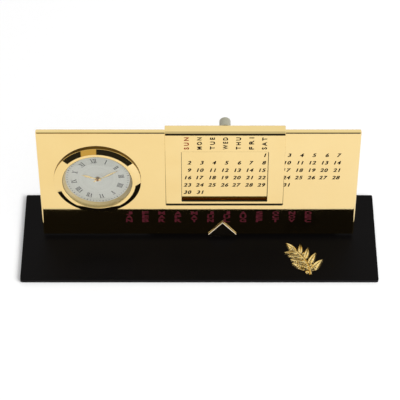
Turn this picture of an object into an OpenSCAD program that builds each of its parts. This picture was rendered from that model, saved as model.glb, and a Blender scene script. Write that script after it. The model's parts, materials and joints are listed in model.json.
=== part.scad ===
// Desk clock with a sliding perpetual calendar: a weighted base, a mirror-polished
// plate that leans back on a hidden bracket, a round quartz clock let into the plate,
// a calendar frame that slides along the plate's top edge and is clamped from behind,
// and a month pointer that slides along its bottom edge.
// Origin: middle of the base's underside. +X to the right, +Y to the back, +Z up.

/* [Base] */
// Width of the base
base_w = 205; // [200:1:240]
// Depth of the base
base_d = 61.4; // [58:0.2:80]
// Thickness of the base plate
base_t = 2.5; // [2:0.1:6]
// Corner radius of the base
base_corner_r = 1; // [0.4:0.1:6]
// Thickness of the felt under the base
felt_t = 0.8; // [0.5:0.1:2]
// Felt set back from the base's edges
felt_inset = 1.5; // [0.5:0.1:6]

/* [Plate] */
// Width of the polished plate
plate_w = 180; // [176:0.5:196]
// Height of the plate, measured along it
plate_h = 77.5; // [76:0.5:90]
// Depth of the plate, sheet and backing board together
plate_depth = 2.8; // [2.4:0.1:4]
// Thickness of the plate's metal sheet
plate_sheet = 0.8; // [0.6:0.1:1.2]
// Radius of the plate's rolled edges
plate_edge_r = 0.5; // [0.2:0.1:0.7]
// Corner radius of the plate's outline
plate_corner_r = 0.8; // [0.3:0.1:3]
// Lean of the plate back from upright, in degrees
lean = 10; // [6:0.5:14]
// Open gap between the base and the plate's bottom edge
plate_gap = 2.2; // [2:0.1:6]
// Sideways offset of the plate on the base
plate_x = -0.5; // [-3:0.1:3]
// Plate's foot behind the middle of the base
plate_y = 0; // [-3:0.5:0]

/* [Stand] */
// Width of the bent bracket behind the plate
bracket_w = 110; // [90:1:112]
// Thickness of the bracket's sheet
bracket_t = 1.5; // [1:0.1:2]
// Length of the bracket's foot on the base
bracket_foot = 20; // [16:0.5:22]
// Bracket's middle to the right of the plate's middle
bracket_x = 26; // [24:0.5:28]
// Riser of the bracket behind the plate's foot
riser_y = 6; // [5.6:0.1:7]
// Height of the bracket's top edge up the plate
bracket_top = 44; // [42:0.5:52]
// Radius of the screws through the base
base_screw_r = 1.5; // [1.25:0.05:2]
// Radius of the studs on the plate
stud_r = 1.25; // [1:0.05:1.5]
// Distance between the stud columns
stud_span = 80; // [60:1:84]
// Distance between the stud rows
stud_rise = 13; // [9:0.5:14]

/* [Clock] */
// Clock's centre to the right of the plate's middle
clock_x = -56.9; // [-58:0.1:-54]
// Clock's centre above the plate's bottom edge
clock_v = 43.2; // [40:0.1:46]
// Tilt of the clock in its hole: its top stands out further than its foot, in degrees
clock_tilt = 2; // [0:0.5:2.5]
// Outside diameter of the bezel
bezel_d = 49.3; // [48.6:0.1:54]
// Diameter of the bezel's opening
opening_d = 39; // [36:0.1:39.4]
// Height of the bezel's rim above the plate
bezel_h = 2.35; // [2:0.05:4]
// Outside diameter of the case behind the bezel
case_d = 43.6; // [43:0.1:44]
// Wall of the case
case_wall = 1.2; // [1:0.1:1.3]
// Depth of the case behind the plate's face
case_depth = 15; // [14:0.1:18]
// Thickness of the rubber ring between case and plate
gasket_t = 0.6; // [0.4:0.1:0.7]
// Thickness of the crystal
crystal_t = 1; // [0.8:0.1:1.4]
// Top of the crystal above the plate's face
crystal_top = 1.3; // [1.2:0.1:1.5]
// Depth of the dial's face behind the plate's face
dial_depth = 1.4; // [1.3:0.1:1.8]
// Thickness of the dial
dial_t = 0.4; // [0.3:0.1:0.6]
// Diameter of the dial that shows inside the gold ring
dial_shown_d = 34.4; // [32:0.2:37]
// Turn of the whole clock in its hole, in degrees
dial_turn = 8; // [0:1:15]
// Length of the minute hand
minute_len = 14; // [11:0.5:16]
// Length of the hour hand
hour_len = 9.6; // [7:0.2:11]
// Minutes past the hour that the hands show
shown_minute = 12; // [0:1:59]
// Hour that the hands show
shown_hour = 10; // [0:1:11]

/* [Motion work] */
// Teeth of the pinion on the minute arbor
cannon_teeth = 12; // [12:1:12]
// Teeth of the motion wheel
motion_teeth = 36; // [36:1:36]
// Teeth of the pinion on the motion wheel
motion_pinion_teeth = 10; // [10:1:10]
// Teeth of the hour wheel
hour_teeth = 40; // [40:1:40]
// Distance between the two gear axes
gear_distance = 6; // [5.8:0.1:6.6]
// Radius of the minute arbor
minute_arbor_r = 0.6; // [0.5:0.05:0.7]
// Radius of the motion wheel's arbor
motion_arbor_r = 0.5; // [0.4:0.05:0.7]
// Radial clearance of a turning shaft in its hole
running_gap = 0.04; // [0.02:0.01:0.08]
// Diameter of the setting knob
set_knob_d = 7; // [5:0.2:8]
// Length of the setting knob behind the case
set_knob_l = 3; // [2:0.2:5]
// Diameter of the button cell
cell_d = 11.6; // [9.5:0.1:11.6]
// Thickness of the button cell
cell_t = 5.4; // [3.6:0.1:5.4]
// Diameter of the battery cap in the case's back
cap_d = 14; // [12.4:0.1:14.4]

/* [Calendar frame] */
// Width of the calendar frame
frame_w = 66.8; // [64:0.2:72]
// Height of the frame's front, from its top edge
frame_h = 55; // [52:0.2:60]
// Thickness of the frame's sheet
frame_sheet = 1.3; // [1:0.1:1.5]
// Frame's front face before the plate's face
frame_stand = 2.3; // [2.1:0.1:3]
// Clearance between the frame and the plate's top edge
frame_top_gap = 0.35; // [0.3:0.05:0.6]
// Clearance between the frame's back leg and the plate
frame_back_gap = 0.3; // [0.2:0.05:0.6]
// Outer bend radius of the frame's sheet
frame_bend_r = 1.7; // [1.4:0.1:2]
// Height of the frame's back leg
back_leg_h = 17; // [14:0.5:24]
// Frame's middle to the right of the plate's middle
frame_x = 14.75; // [14:0.05:16]
// Width of the window
window_w = 48.3; // [44:0.1:52]
// Height of the window
window_h = 37.2; // [34:0.1:40]
// Border below the window
window_sill = 3.85; // [3:0.05:6]

/* [Clamp screw] */
// Diameter of the knob
knob_d = 6.3; // [5.8:0.1:7]
// Length of the knob
knob_l = 6.7; // [5:0.1:10]
// Knob's axis below the frame's top edge
knob_drop = 3.9; // [3.6:0.1:6]
// Radius of the clamp screw
clamp_r = 1.5; // [1.25:0.05:1.8]
// Length of the nylon tip
tip_l = 1; // [0.8:0.1:1.2]
// Gap between the nylon tip and the board when the screw is tight
tip_gap = 0.05; // [0.03:0.01:0.1]

/* [Month pointer] */
// Width of the pointer
pointer_w = 16.2; // [12:0.2:18]
// Height of the pointer's tip up the plate
pointer_h = 10.4; // [8:0.2:13]
// Thickness of the pointer's sheet
pointer_sheet = 0.8; // [0.6:0.1:1]
// Clearance between the pointer and the plate
pointer_clear = 0.3; // [0.2:0.05:0.5]
// Pointer's middle to the right of the plate's middle
pointer_x = 13.85; // [10:0.05:18]
// Height of the pointer's leg behind the plate
pointer_leg = 5; // [4:0.2:7]

/* [Ornament] */
// Foot of the sprig's stem to the right of the base's middle
sprig_x = 63.6; // [60:0.2:66]
// Foot of the sprig's stem before the plate's foot
sprig_y = -27.6; // [-28:0.2:-26]
// Length of the sprig's stem, along its curve
sprig_l = 19.5; // [16:0.5:20]
// Radius of the stem's curve
sprig_curve_r = 24; // [20:1:40]
// Turn of the stem's foot to the left, in degrees
sprig_turn = 2; // [-10:1:20]
// Radius of the stem
stem_r = 0.85; // [0.6:0.05:1]
// Length of the longest leaf
leaf_l = 10.8; // [8:0.2:11]
// Width of the longest leaf
leaf_w = 5; // [3.6:0.2:5.4]
// Height of a leaf
leaf_h = 2.5; // [1.5:0.1:3]
// Angle between the stem and a leaf, in degrees
leaf_spread = 56; // [40:1:70]
// Radius of a berry
berry_r = 1.25; // [0.8:0.05:1.4]

/* [Hidden] */
$fn = 72;

seat = 0.05;                        // small gap between round pieces that seat in each other
base_top = felt_t + base_t;
foot_z = base_top + plate_gap;      // height of the plate's bottom edge

// Clock, heights measured outwards from the plate's face
case_r = case_d / 2;
case_in_r = case_r - case_wall;
opening_r = opening_d / 2;
bezel_r = bezel_d / 2;
gasket_r = case_r + seat + gasket_t;
gasket_high = bezel_r * sin(clock_tilt) + 0.1;
gasket_low = gasket_high + plate_depth - 0.4;
hole_r = gasket_r + 0.25;           // room for the tilt
crystal_low = crystal_top - crystal_t;
dial_face = -dial_depth;
dial_back = dial_face - dial_t;
dial_r = case_in_r - seat;
case_back = -case_depth;
case_floor = case_back + case_wall;
ring_t = 2;                         // wall of the plastic ring that carries the dial
move_r = dial_r - ring_t;
move_face = dial_back - 3.9;        // front of the sealed movement, behind the motion work
move_back = case_floor + 0.1;

// Hands and motion work
sheet_hand = 0.2;
hour_hand_z = dial_face + 0.35;
minute_hand_z = hour_hand_z + 0.55;
cap_top = minute_hand_z + 0.7;
wheel_t = 0.8;
low_gear = move_face + 0.15;        // wheel and cannon pinion
high_gear = low_gear + wheel_t + 0.25;  // motion pinion and hour wheel
low_m = 2 * gear_distance / (cannon_teeth + motion_teeth);
high_m = 2 * gear_distance / (motion_pinion_teeth + hour_teeth);
hour_tube_in = minute_arbor_r + running_gap;
hour_tube_r = hour_tube_in + 0.5;
minute_angle = -6 * shown_minute;
hour_angle = -30 * shown_hour - shown_minute / 2;
gear_dir = -90;                     // motion wheel lies below the centre
arbor_in = 2.5;                     // how deep the minute arbor runs into the movement
cell_x = 0;
cell_y = 7.5;
cell_clear = 0.15;
leaf_t = 0.2;                       // thickness of the contact leaves
cap_gap = 0.06;
coin_w = 1.4;
coin_l = 9;

// Calendar frame, in the plate's own axes
frame_top = plate_h + frame_top_gap + frame_sheet;
frame_low = frame_top - frame_h;
frame_back = plate_depth + frame_back_gap + frame_sheet;
frame_depth = frame_stand + frame_back;
knob_v = frame_top - knob_drop;
collar_t = 0.8;
bush_r = clamp_r + 0.9;
knob_gap = 0.6;
pad_w = 8;
pad_h = 2.6;
pad_t = frame_stand - frame_sheet - 0.2;

// Pointer
pointer_out = pointer_clear + pointer_sheet;
pointer_bend = 0.4;

// Bracket
alpha2 = lean / 2;
bracket_mid = plate_x + bracket_x;
riser_front = plate_y + riser_y;
leaf_low = (riser_y - plate_depth * cos(lean)) / sin(lean);
bend_z = foot_z + leaf_low * cos(lean) - plate_depth * sin(lean);
leaf_len = bracket_top - leaf_low;
foot_bend = 1.2;
stud_v = (leaf_low + bracket_top) / 2;
nut_t = 2;
nut_m3 = 2.4;
screw_span = bracket_w - 20;
screw_y = riser_front + bracket_t + (bracket_foot - bracket_t) / 2;

// ---------- helpers ----------

module round_rect(w, h, r) {
    square([w - 2 * r, h], center = true);
    square([w, h - 2 * r], center = true);
    for (x = [-1, 1], y = [-1, 1])
        translate([x * (w / 2 - r), y * (h / 2 - r)]) circle(r, $fn = 32);
}

// Rectangle from the origin whose two upper corners are round
module top_round(w, h, r) {
    square([w, h - r]);
    translate([r, 0]) square([w - 2 * r, h]);
    for (x = [r, w - r]) translate([x, h - r]) circle(r, $fn = 32);
}

// Plate axes: x to the right, y to the back through the plate, z up along the plate
module on_plate() {
    translate([plate_x, plate_y, foot_z]) rotate([-lean, 0, 0]) children();
}

// Clock axes: x to the right, y up, z outwards from the bezel's seat, whose foot is on the plate
module on_clock() {
    on_plate() translate([clock_x, 0, clock_v - bezel_r]) rotate([90 + clock_tilt, 0, 0])
        translate([0, bezel_r, 0]) children();
}

module at_motion_axis() {
    rotate([0, 0, dial_turn + gear_dir]) translate([gear_distance, 0, 0]) children();
}

module ring(r_out, r_in, low, high) {
    translate([0, 0, low]) difference() {
        cylinder(r = r_out, h = high - low);
        translate([0, 0, -1]) cylinder(r = r_in, h = high - low + 2);
    }
}

// Profile in the plate's y and z, drawn along x and centred on x = mid
module along_x(width, mid) {
    translate([mid - width / 2, 0, 0]) rotate([90, 0, 90]) linear_extrude(width) children();
}

module hex_nut(r_in, flats, t) {
    difference() {
        cylinder(r = flats / sqrt(3), h = t, $fn = 6);
        translate([0, 0, -1]) cylinder(r = r_in, h = t + 2, $fn = 32);
    }
}

// Points of an arc of radius r round c, from angle a to angle b
function arc(c, r, a, b, n) = [for (i = [0:n]) let (t = a + (b - a) * i / n) c + r * [cos(t), sin(t)]];

// One gear tooth: half angle of the tooth at radius r, for an involute with 20 degrees of pressure
function inv(a) = tan(a) * 180 / PI - a;
function half_tooth(r, z, m, slack) =
    let (rp = z * m / 2, rb = rp * cos(20))
    90 / z + inv(20) - inv(acos(min(1, rb / max(r, rb)))) - slack * 180 / PI / rp;

module gear(z, m, t, add, slack) {
    rp = z * m / 2;
    r0 = rp - 1.25 * m;
    steps = [0, 0.25, 0.5, 0.75, 1];
    r_low = max(rp * cos(20), r0 + 0.1 * m);
    r_tip = rp + add * m;
    tooth = concat(
        [[r0, half_tooth(r_low, z, m, slack) + 0.5]],
        [for (s = steps) let (r = r_low + (r_tip - r_low) * s) [r, half_tooth(r, z, m, slack)]]
    );
    n = len(tooth);
    linear_extrude(t) polygon([
        for (k = [0:z - 1], i = [0:2 * n - 1])
            let (p = i < n ? tooth[i] : tooth[2 * n - 1 - i], side = i < n ? -1 : 1,
                 a = 360 / z * k + side * p[1])
            p[0] * [cos(a), sin(a)]
    ]);
}

// ---------- base and stand ----------

module base_plate() color([0.06, 0.06, 0.06]) difference() {
    translate([0, 0, felt_t]) linear_extrude(base_t) round_rect(base_w, base_d, base_corner_r);
    for (i = [-1:1]) translate([bracket_mid + i * screw_span / 2, screw_y, 0]) {
        cylinder(r = base_screw_r + 0.1, h = base_top + 1);
        translate([0, 0, felt_t - 0.01])
            cylinder(r1 = 2 * base_screw_r + 0.1, r2 = base_screw_r + 0.1, h = base_screw_r);
    }
}

module base_felt() color([0.1, 0.1, 0.1])
    linear_extrude(felt_t)
        round_rect(base_w - 2 * felt_inset, base_d - 2 * felt_inset, base_corner_r);

module bracket_profile() {
    y0 = riser_front;
    y1 = riser_front + bracket_t;
    tip = [y0 + leaf_len * sin(lean), bend_z + leaf_len * cos(lean)];
    out = bracket_t * [cos(lean), -sin(lean)];
    polygon(concat(
        [[y0 + bracket_foot, base_top]],
        arc([y0 + foot_bend, base_top + foot_bend], foot_bend, 270, 180, 8),
        [[y0, bend_z], tip, tip + out, [y1, bend_z - bracket_t * tan(alpha2)]],
        arc([y1 + 0.4, base_top + bracket_t + 0.4], 0.4, 180, 270, 6),
        [[y0 + bracket_foot, base_top + bracket_t]]
    ));
}

module at_studs() {
    for (x = [-1, 1], v = [-1, 1])
        translate([bracket_x + x * stud_span / 2, 0, stud_v + v * stud_rise / 2])
            rotate([-90, 0, 0]) children();
}

module stand_bracket() color([0.12, 0.12, 0.12]) difference() {
    along_x(bracket_w, bracket_mid) bracket_profile();
    for (i = [-1:1]) translate([bracket_mid + i * screw_span / 2, screw_y, base_top - 1])
        cylinder(r = base_screw_r + 0.1, h = bracket_t + 2, $fn = 32);
    on_plate() at_studs() cylinder(r = stud_r + 0.15, h = plate_depth + bracket_t + 1, $fn = 32);
}

module bracket_screws() color([0.5, 0.5, 0.5])
    for (i = [-1:1]) translate([bracket_mid + i * screw_span / 2, screw_y, felt_t]) {
        cylinder(r1 = 2 * base_screw_r, r2 = base_screw_r, h = base_screw_r, $fn = 32);
        cylinder(r = base_screw_r, h = base_t + bracket_t + nut_m3 + 0.8, $fn = 32);
    }

module bracket_nuts() color([0.6, 0.6, 0.6])
    for (i = [-1:1]) translate([bracket_mid + i * screw_span / 2, screw_y, base_top + bracket_t])
        hex_nut(base_screw_r + seat, 3.65 * base_screw_r, nut_m3);

// ---------- plate ----------

module plate_block(w, h, d, edge_r, corner_r) {
    intersection() {
        rotate([90, 0, 0]) mirror([0, 0, 1]) translate([0, h / 2, 0])
            linear_extrude(d) round_rect(w, h, corner_r);
        along_x(w, 0) rounded_front(h, d, edge_r);
        linear_extrude(h) translate([w / 2, 0]) rotate(90) rounded_front(w, d, edge_r);
    }
}

// Section of depth d whose two corners on the front side, x = 0, are round
module rounded_front(h, d, r) {
    translate([r, 0]) square([d - r, h]);
    translate([0, r]) square([d, h - 2 * r]);
    for (y = [r, h - r]) translate([r, y]) circle(r, $fn = 32);
}

module main_plate() color([0.9, 0.75, 0.42]) on_plate() {
    difference() {
        plate_block(plate_w, plate_h, plate_depth, plate_edge_r, plate_corner_r);
        translate([-plate_w / 2 + plate_sheet, plate_sheet, plate_sheet])
            cube([plate_w - 2 * plate_sheet, plate_depth, plate_h - 2 * plate_sheet]);
        translate([clock_x, 0, clock_v]) rotate([90, 0, 0])
            cylinder(r = hole_r, h = 4 * plate_depth, center = true);
    }
    at_studs() translate([0, 0, plate_sheet / 2])
        cylinder(r = stud_r, h = plate_depth + bracket_t + nut_t + 0.6 - plate_sheet / 2, $fn = 32);
}

module backing_board() color([0.08, 0.07, 0.06]) on_plate() difference() {
    translate([-plate_w / 2 + plate_sheet, plate_sheet, plate_sheet])
        cube([plate_w - 2 * plate_sheet, plate_depth - plate_sheet, plate_h - 2 * plate_sheet]);
    translate([clock_x, 0, clock_v]) rotate([90, 0, 0])
        cylinder(r = hole_r, h = 4 * plate_depth, center = true);
    at_studs() cylinder(r = stud_r + seat, h = plate_depth + 1, $fn = 32);
}

module plate_nuts() color([0.6, 0.6, 0.6]) on_plate()
    at_studs() translate([0, 0, plate_depth + bracket_t]) hex_nut(stud_r + seat, 4 * stud_r, nut_t);

// ---------- clock case ----------

module case_gasket() color([0.05, 0.05, 0.05]) on_clock()
    ring(gasket_r, case_r + seat, -gasket_low, -gasket_high);

module clock_case() color([0.08, 0.08, 0.08]) on_clock() difference() {
    translate([0, 0, case_back]) cylinder(r = case_r, h = crystal_top - case_back);
    translate([0, 0, case_floor]) cylinder(r = case_in_r, h = crystal_top - case_floor + 1);
    rotate([0, 0, dial_turn]) translate([cell_x, cell_y, case_back - 1])
        cylinder(r = cap_d / 2 + cap_gap, h = case_wall + 2);
    at_motion_axis() translate([0, 0, case_back - 1])
        cylinder(r = motion_arbor_r + 0.4, h = case_wall + 2, $fn = 32);
}

// Section of the bezel: a lip over the crystal and a convex slope out to a thin edge
module bezel_section() {
    lip = 0.6;
    edge = 0.5;
    sag = 0.5;
    a = [opening_r + lip, bezel_h];
    b = [bezel_r - 0.15, edge];
    polygon(concat(
        [[opening_r, crystal_top], [opening_r, bezel_h - lip]],
        arc([opening_r + lip, bezel_h - lip], lip, 180, 90, 6),
        [for (i = [1:7]) let (t = i / 8) a + (b - a) * t + [0, 4 * sag * t * (1 - t)]],
        [b, [bezel_r, edge - 0.2], [bezel_r, 0], [case_r + seat, 0], [case_r + seat, crystal_top]]
    ));
}

module clock_bezel() color([0.9, 0.75, 0.42]) on_clock()
    rotate_extrude($fn = 120) bezel_section();

module crystal() color([0.8, 0.9, 0.95, 0.4]) on_clock()
    translate([0, 0, crystal_low]) cylinder(r = dial_r, h = crystal_t, $fn = 120);

module inner_ring() color([0.85, 0.72, 0.42]) on_clock()
    rotate_extrude($fn = 120) polygon([
        [dial_shown_d / 2, dial_face], [dial_r, dial_face],
        [dial_r, crystal_low], [opening_r, crystal_low]
    ]);

module dial() color([0.86, 0.87, 0.84]) on_clock()
    ring(dial_r, hour_tube_r + 0.4, dial_back, dial_face);

module movement_ring() color([0.85, 0.85, 0.82]) on_clock()
    ring(dial_r, move_r + seat, case_floor, dial_back);

// ---------- movement ----------

module movement() color([0.2, 0.2, 0.22]) on_clock() rotate([0, 0, dial_turn]) difference() {
    translate([0, 0, move_back]) cylinder(r = move_r, h = move_face - move_back);
    translate([0, 0, move_face - arbor_in])
        cylinder(r = minute_arbor_r + running_gap, h = arbor_in + 1, $fn = 32);
    rotate([0, 0, gear_dir]) translate([gear_distance, 0, move_back - 1])
        cylinder(r = motion_arbor_r + running_gap, h = move_face - move_back + 2, $fn = 32);
    translate([cell_x, cell_y, move_back - 1])
        cylinder(r = cell_d / 2 + cell_clear, h = 1 + cell_t + 2 * leaf_t, $fn = 48);
}

module minute_arbor() color([0.75, 0.7, 0.5]) on_clock() {
    translate([0, 0, move_face - arbor_in + 0.2])
        cylinder(r = minute_arbor_r, h = minute_hand_z - move_face + arbor_in - 0.2, $fn = 32);
    rotate([0, 0, dial_turn + gear_dir + 180 / cannon_teeth])
        translate([0, 0, low_gear]) gear(cannon_teeth, low_m, wheel_t, 0.9, 0.03);
}

module motion_wheel() color([0.8, 0.68, 0.4]) on_clock() at_motion_axis() {
    rotate([0, 0, 180]) translate([0, 0, low_gear]) gear(motion_teeth, low_m, wheel_t, 0.9, 0.03);
    rotate([0, 0, 180]) translate([0, 0, low_gear])
        gear(motion_pinion_teeth, high_m, high_gear + wheel_t - low_gear, 0.8, 0.03);
    translate([0, 0, case_back - set_knob_l + 0.8])
        cylinder(r = motion_arbor_r, h = low_gear - case_back + set_knob_l, $fn = 32);
}

module hour_wheel() color([0.8, 0.68, 0.4]) on_clock() difference() {
    union() {
        rotate([0, 0, dial_turn + gear_dir + 180 / hour_teeth])
            translate([0, 0, high_gear]) gear(hour_teeth, high_m, wheel_t, 0.8, 0.03);
        translate([0, 0, high_gear]) cylinder(r = hour_tube_r, h = hour_hand_z - high_gear, $fn = 32);
    }
    translate([0, 0, high_gear - 1]) cylinder(r = hour_tube_in, h = 10, $fn = 32);
}

module setting_knob() color([0.1, 0.1, 0.1]) on_clock() at_motion_axis() difference() {
    translate([0, 0, case_back - 0.3 - set_knob_l]) {
        cylinder(r = set_knob_d / 2, h = set_knob_l - 0.4, $fn = 48);
        cylinder(r = set_knob_d / 2 - 0.4, h = set_knob_l, $fn = 48);
    }
    translate([0, 0, case_back - set_knob_l + 0.8])
        cylinder(r = motion_arbor_r + 0.01, h = set_knob_l + 1, $fn = 32);
    for (i = [0:17]) rotate([0, 0, 20 * i])
        translate([set_knob_d / 2 + 0.1, 0, case_back - 1 - set_knob_l])
            cylinder(r = 0.35, h = set_knob_l + 2, $fn = 16);
}

// Leaf-shaped hand pointing along +x, with a round eye over the arbor and a short tail
module hand_outline(length, width, eye_r, tail) {
    neck = width / 4;
    end = width / 3;
    polygon(concat(
        [[-tail, -end]],
        arc([0, 0], eye_r, 180 + asin(end / eye_r), 360 - asin(neck / eye_r), 12),
        [[length * 0.3, -neck], [length * 0.55, -width / 2], [length * 0.8, -width / 5], [length, 0],
         [length * 0.8, width / 5], [length * 0.55, width / 2], [length * 0.3, neck]],
        arc([0, 0], eye_r, asin(neck / eye_r), 180 - asin(end / eye_r), 12),
        [[-tail, end]]
    ));
}

module hour_hand() color([0.85, 0.72, 0.42]) on_clock()
    rotate([0, 0, dial_turn + 90 + hour_angle]) translate([0, 0, hour_hand_z]) difference() {
        linear_extrude(sheet_hand) hand_outline(hour_len, 1.3, hour_tube_r + 0.3, 2);
        translate([0, 0, -1]) cylinder(r = hour_tube_in, h = 3, $fn = 32);
    }

module minute_hand() color([0.85, 0.72, 0.42]) on_clock()
    rotate([0, 0, dial_turn + 90 + minute_angle]) translate([0, 0, minute_hand_z])
        linear_extrude(sheet_hand) hand_outline(minute_len, 1, minute_arbor_r + 0.35, 2.6);

module hand_cap() color([0.6, 0.4, 0.2]) on_clock()
    translate([0, 0, minute_hand_z + sheet_hand])
        rotate_extrude($fn = 32) polygon(concat(
            [[0, 0], [0.85, 0]],
            arc([0.45, cap_top - minute_hand_z - sheet_hand - 0.4], 0.4, 0, 90, 5),
            [[0, cap_top - minute_hand_z - sheet_hand]]
        ));

module button_cell() color([0.75, 0.75, 0.77]) on_clock() rotate([0, 0, dial_turn])
    translate([cell_x, cell_y, move_back]) {
        cylinder(r = cell_d / 2, h = cell_t - 0.6, $fn = 48);
        translate([0, 0, cell_t - 0.6]) cylinder(r = cell_d / 2 - 1, h = 0.6, $fn = 48);
    }

module cell_contacts() color([0.8, 0.7, 0.4]) on_clock() rotate([0, 0, dial_turn])
    translate([cell_x, cell_y, 0]) {
        // flat leaf on the cell's face and a curved leaf along its side
        translate([-3.5, -1.2, move_back + cell_t]) cube([7, 2.4, leaf_t]);
        translate([0, 0, move_back + 0.5]) rotate([0, 0, 70])
            rotate_extrude(angle = 40, $fn = 48) translate([cell_d / 2 + 0.03, 0]) square([0.09, 3.5]);
    }

module battery_cap() color([0.1, 0.1, 0.1]) on_clock() rotate([0, 0, dial_turn])
    translate([cell_x, cell_y, 0]) difference() {
        translate([0, 0, case_back]) cylinder(r = cap_d / 2, h = case_wall - 0.1);
        translate([-coin_l / 2, -coin_w / 2, case_back - 1]) cube([coin_l, coin_w, 1.6]);
    }

// ---------- calendar frame ----------

module calendar_frame() color([0.92, 0.78, 0.45]) on_plate() difference() {
    along_x(frame_w, frame_x) difference() {
        translate([-frame_stand, frame_low]) top_round(frame_depth, frame_h, frame_bend_r);
        translate([frame_sheet - frame_stand, frame_low - 1])
            top_round(frame_depth - 2 * frame_sheet, frame_h - frame_sheet + 1, frame_bend_r - frame_sheet);
        translate([0, frame_low - 1]) square([frame_depth, frame_h - back_leg_h + 1]);
    }
    translate([frame_x - window_w / 2, -frame_stand - 1, frame_low + window_sill])
        cube([window_w, frame_sheet + 2, window_h]);
    translate([frame_x, frame_back + 1, knob_v]) rotate([90, 0, 0])
        cylinder(r = bush_r + 0.01, h = frame_sheet + 2, $fn = 48);
}

module glide_pads() color([0.15, 0.12, 0.1]) on_plate()
    for (x = [-1, 1])
        translate([frame_x + x * (frame_w / 2 - 1 - pad_w / 2) - pad_w / 2,
                   frame_sheet - frame_stand, frame_low + 0.6])
            cube([pad_w, pad_t, pad_h]);

// The clamp turns on an axis through the plate: z runs to the back from the plate's face
module on_clamp() {
    on_plate() translate([frame_x, 0, knob_v]) rotate([-90, 0, 0]) children();
}

module clamp_bush() color([0.7, 0.7, 0.66]) on_clamp() difference() {
    union() {
        translate([0, 0, frame_back - frame_sheet]) cylinder(r = bush_r, h = frame_sheet, $fn = 48);
        translate([0, 0, frame_back]) cylinder(r = bush_r + 0.4, h = collar_t, $fn = 48);
    }
    cylinder(r = clamp_r + running_gap, h = 20, $fn = 48);
}

module clamp_tip() color([0.9, 0.9, 0.85]) on_clamp()
    translate([0, 0, plate_depth + tip_gap]) cylinder(r = clamp_r, h = tip_l, $fn = 48);

module clamp_knob() color([0.7, 0.7, 0.64]) on_clamp() {
    translate([0, 0, plate_depth + tip_gap + tip_l])
        cylinder(r = clamp_r, h = frame_back + collar_t + knob_gap - plate_depth - tip_gap - tip_l + 1,
                 $fn = 48);
    translate([0, 0, frame_back + collar_t + knob_gap]) rotate_extrude($fn = 48) polygon([
        [0, 0], [knob_d / 2 - 0.4, 0], [knob_d / 2, 0.4],
        [knob_d / 2, knob_l - 0.5], [knob_d / 2 - 0.5, knob_l], [0, knob_l]
    ]);
}

// ---------- month pointer ----------

module month_pointer() color([0.88, 0.74, 0.42]) on_plate() {
    // the tab before the plate
    translate([pointer_x, -pointer_clear, 0]) rotate([90, 0, 0]) linear_extrude(pointer_sheet)
        polygon([
            [-pointer_w / 2, 0], [pointer_w / 2, 0], [pointer_w / 2, 0.9],
            [0.2, pointer_h], [-0.2, pointer_h], [-pointer_w / 2, 0.9]
        ]);
    // the clip under the plate's edge and up behind it
    along_x(pointer_w, pointer_x) difference() {
        translate([-pointer_out, pointer_leg]) mirror([0, 1])
            top_round(plate_depth + 2 * pointer_out, pointer_leg + pointer_out, pointer_bend + pointer_sheet);
        translate([-pointer_clear, pointer_leg + 1]) mirror([0, 1])
            top_round(plate_depth + 2 * pointer_clear, pointer_leg + 1 + pointer_clear, pointer_bend);
        translate([-pointer_out - 1, 0]) square([pointer_out + 1, pointer_leg + 1]);
    }
}

// ---------- ornament ----------

// Leaf on the ground: its outline swells and tapers, its top rises to two cheeks
// either side of a sunken midrib
leaf_steps = 10;    // along the leaf
leaf_cols = 8;      // across it
leaf_rim = 0.06 * leaf_h;
function leaf_half(u) = leaf_w / 2 * pow(sin(180 * pow(u, 0.8)), 0.8);
function leaf_top(u, w) = leaf_h * (0.25 + 0.75 * sin(180 * u)) * (1 - pow(abs(w), 2.5))
    - 0.35 * leaf_h * sin(180 * u) * exp(-30 * w * w);

module leaf() {
    cols = leaf_cols + 1;
    top = [for (i = [0:leaf_steps], j = [0:leaf_cols])
        let (u = 0.04 + 0.92 * i / leaf_steps, w = 2 * j / leaf_cols - 1)
        [leaf_l * u, leaf_half(u) * w, max(leaf_rim, leaf_top(u, w))]];
    ground = [for (p = top) [p[0], p[1], 0]];
    low = len(top);
    function id(i, j) = i * cols + j;
    edge = concat(
        [for (j = [0:leaf_cols - 1]) [id(0, j), id(0, j + 1)]],
        [for (i = [0:leaf_steps - 1]) [id(i, leaf_cols), id(i + 1, leaf_cols)]],
        [for (j = [leaf_cols:-1:1]) [id(leaf_steps, j), id(leaf_steps, j - 1)]],
        [for (i = [leaf_steps:-1:1]) [id(i, 0), id(i - 1, 0)]]
    );
    cells = [for (i = [0:leaf_steps - 1], j = [0:leaf_cols - 1])
        [id(i, j), id(i, j + 1), id(i + 1, j + 1), id(i + 1, j)]];
    faces = concat(
        [for (c = cells) [c[0], c[1], c[2]]],
        [for (c = cells) [c[0], c[2], c[3]]],
        [for (c = cells) [low + c[0], low + c[2], low + c[1]]],
        [for (c = cells) [low + c[0], low + c[3], low + c[2]]],
        [for (e = edge) [e[0], low + e[0], low + e[1]]],
        [for (e = edge) [e[0], low + e[1], e[1]]]
    );
    polyhedron(concat(top, ground), faces, convexity = 4);
}

// Place on the stem, a share t of its length up; x runs along the stem there
module on_stem(t) {
    rotate([0, 0, t * sprig_l / sprig_curve_r * 180 / PI])
        translate([sprig_curve_r, 0, 0]) rotate([0, 0, 90]) children();
}

// Half of a round bead that lies on the ground
module bead(r) {
    difference() {
        translate([0, 0, 0.6 * r]) sphere(r, $fn = 24);
        translate([-2 * r, -2 * r, -4 * r]) cube(4 * r);
    }
}

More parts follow.
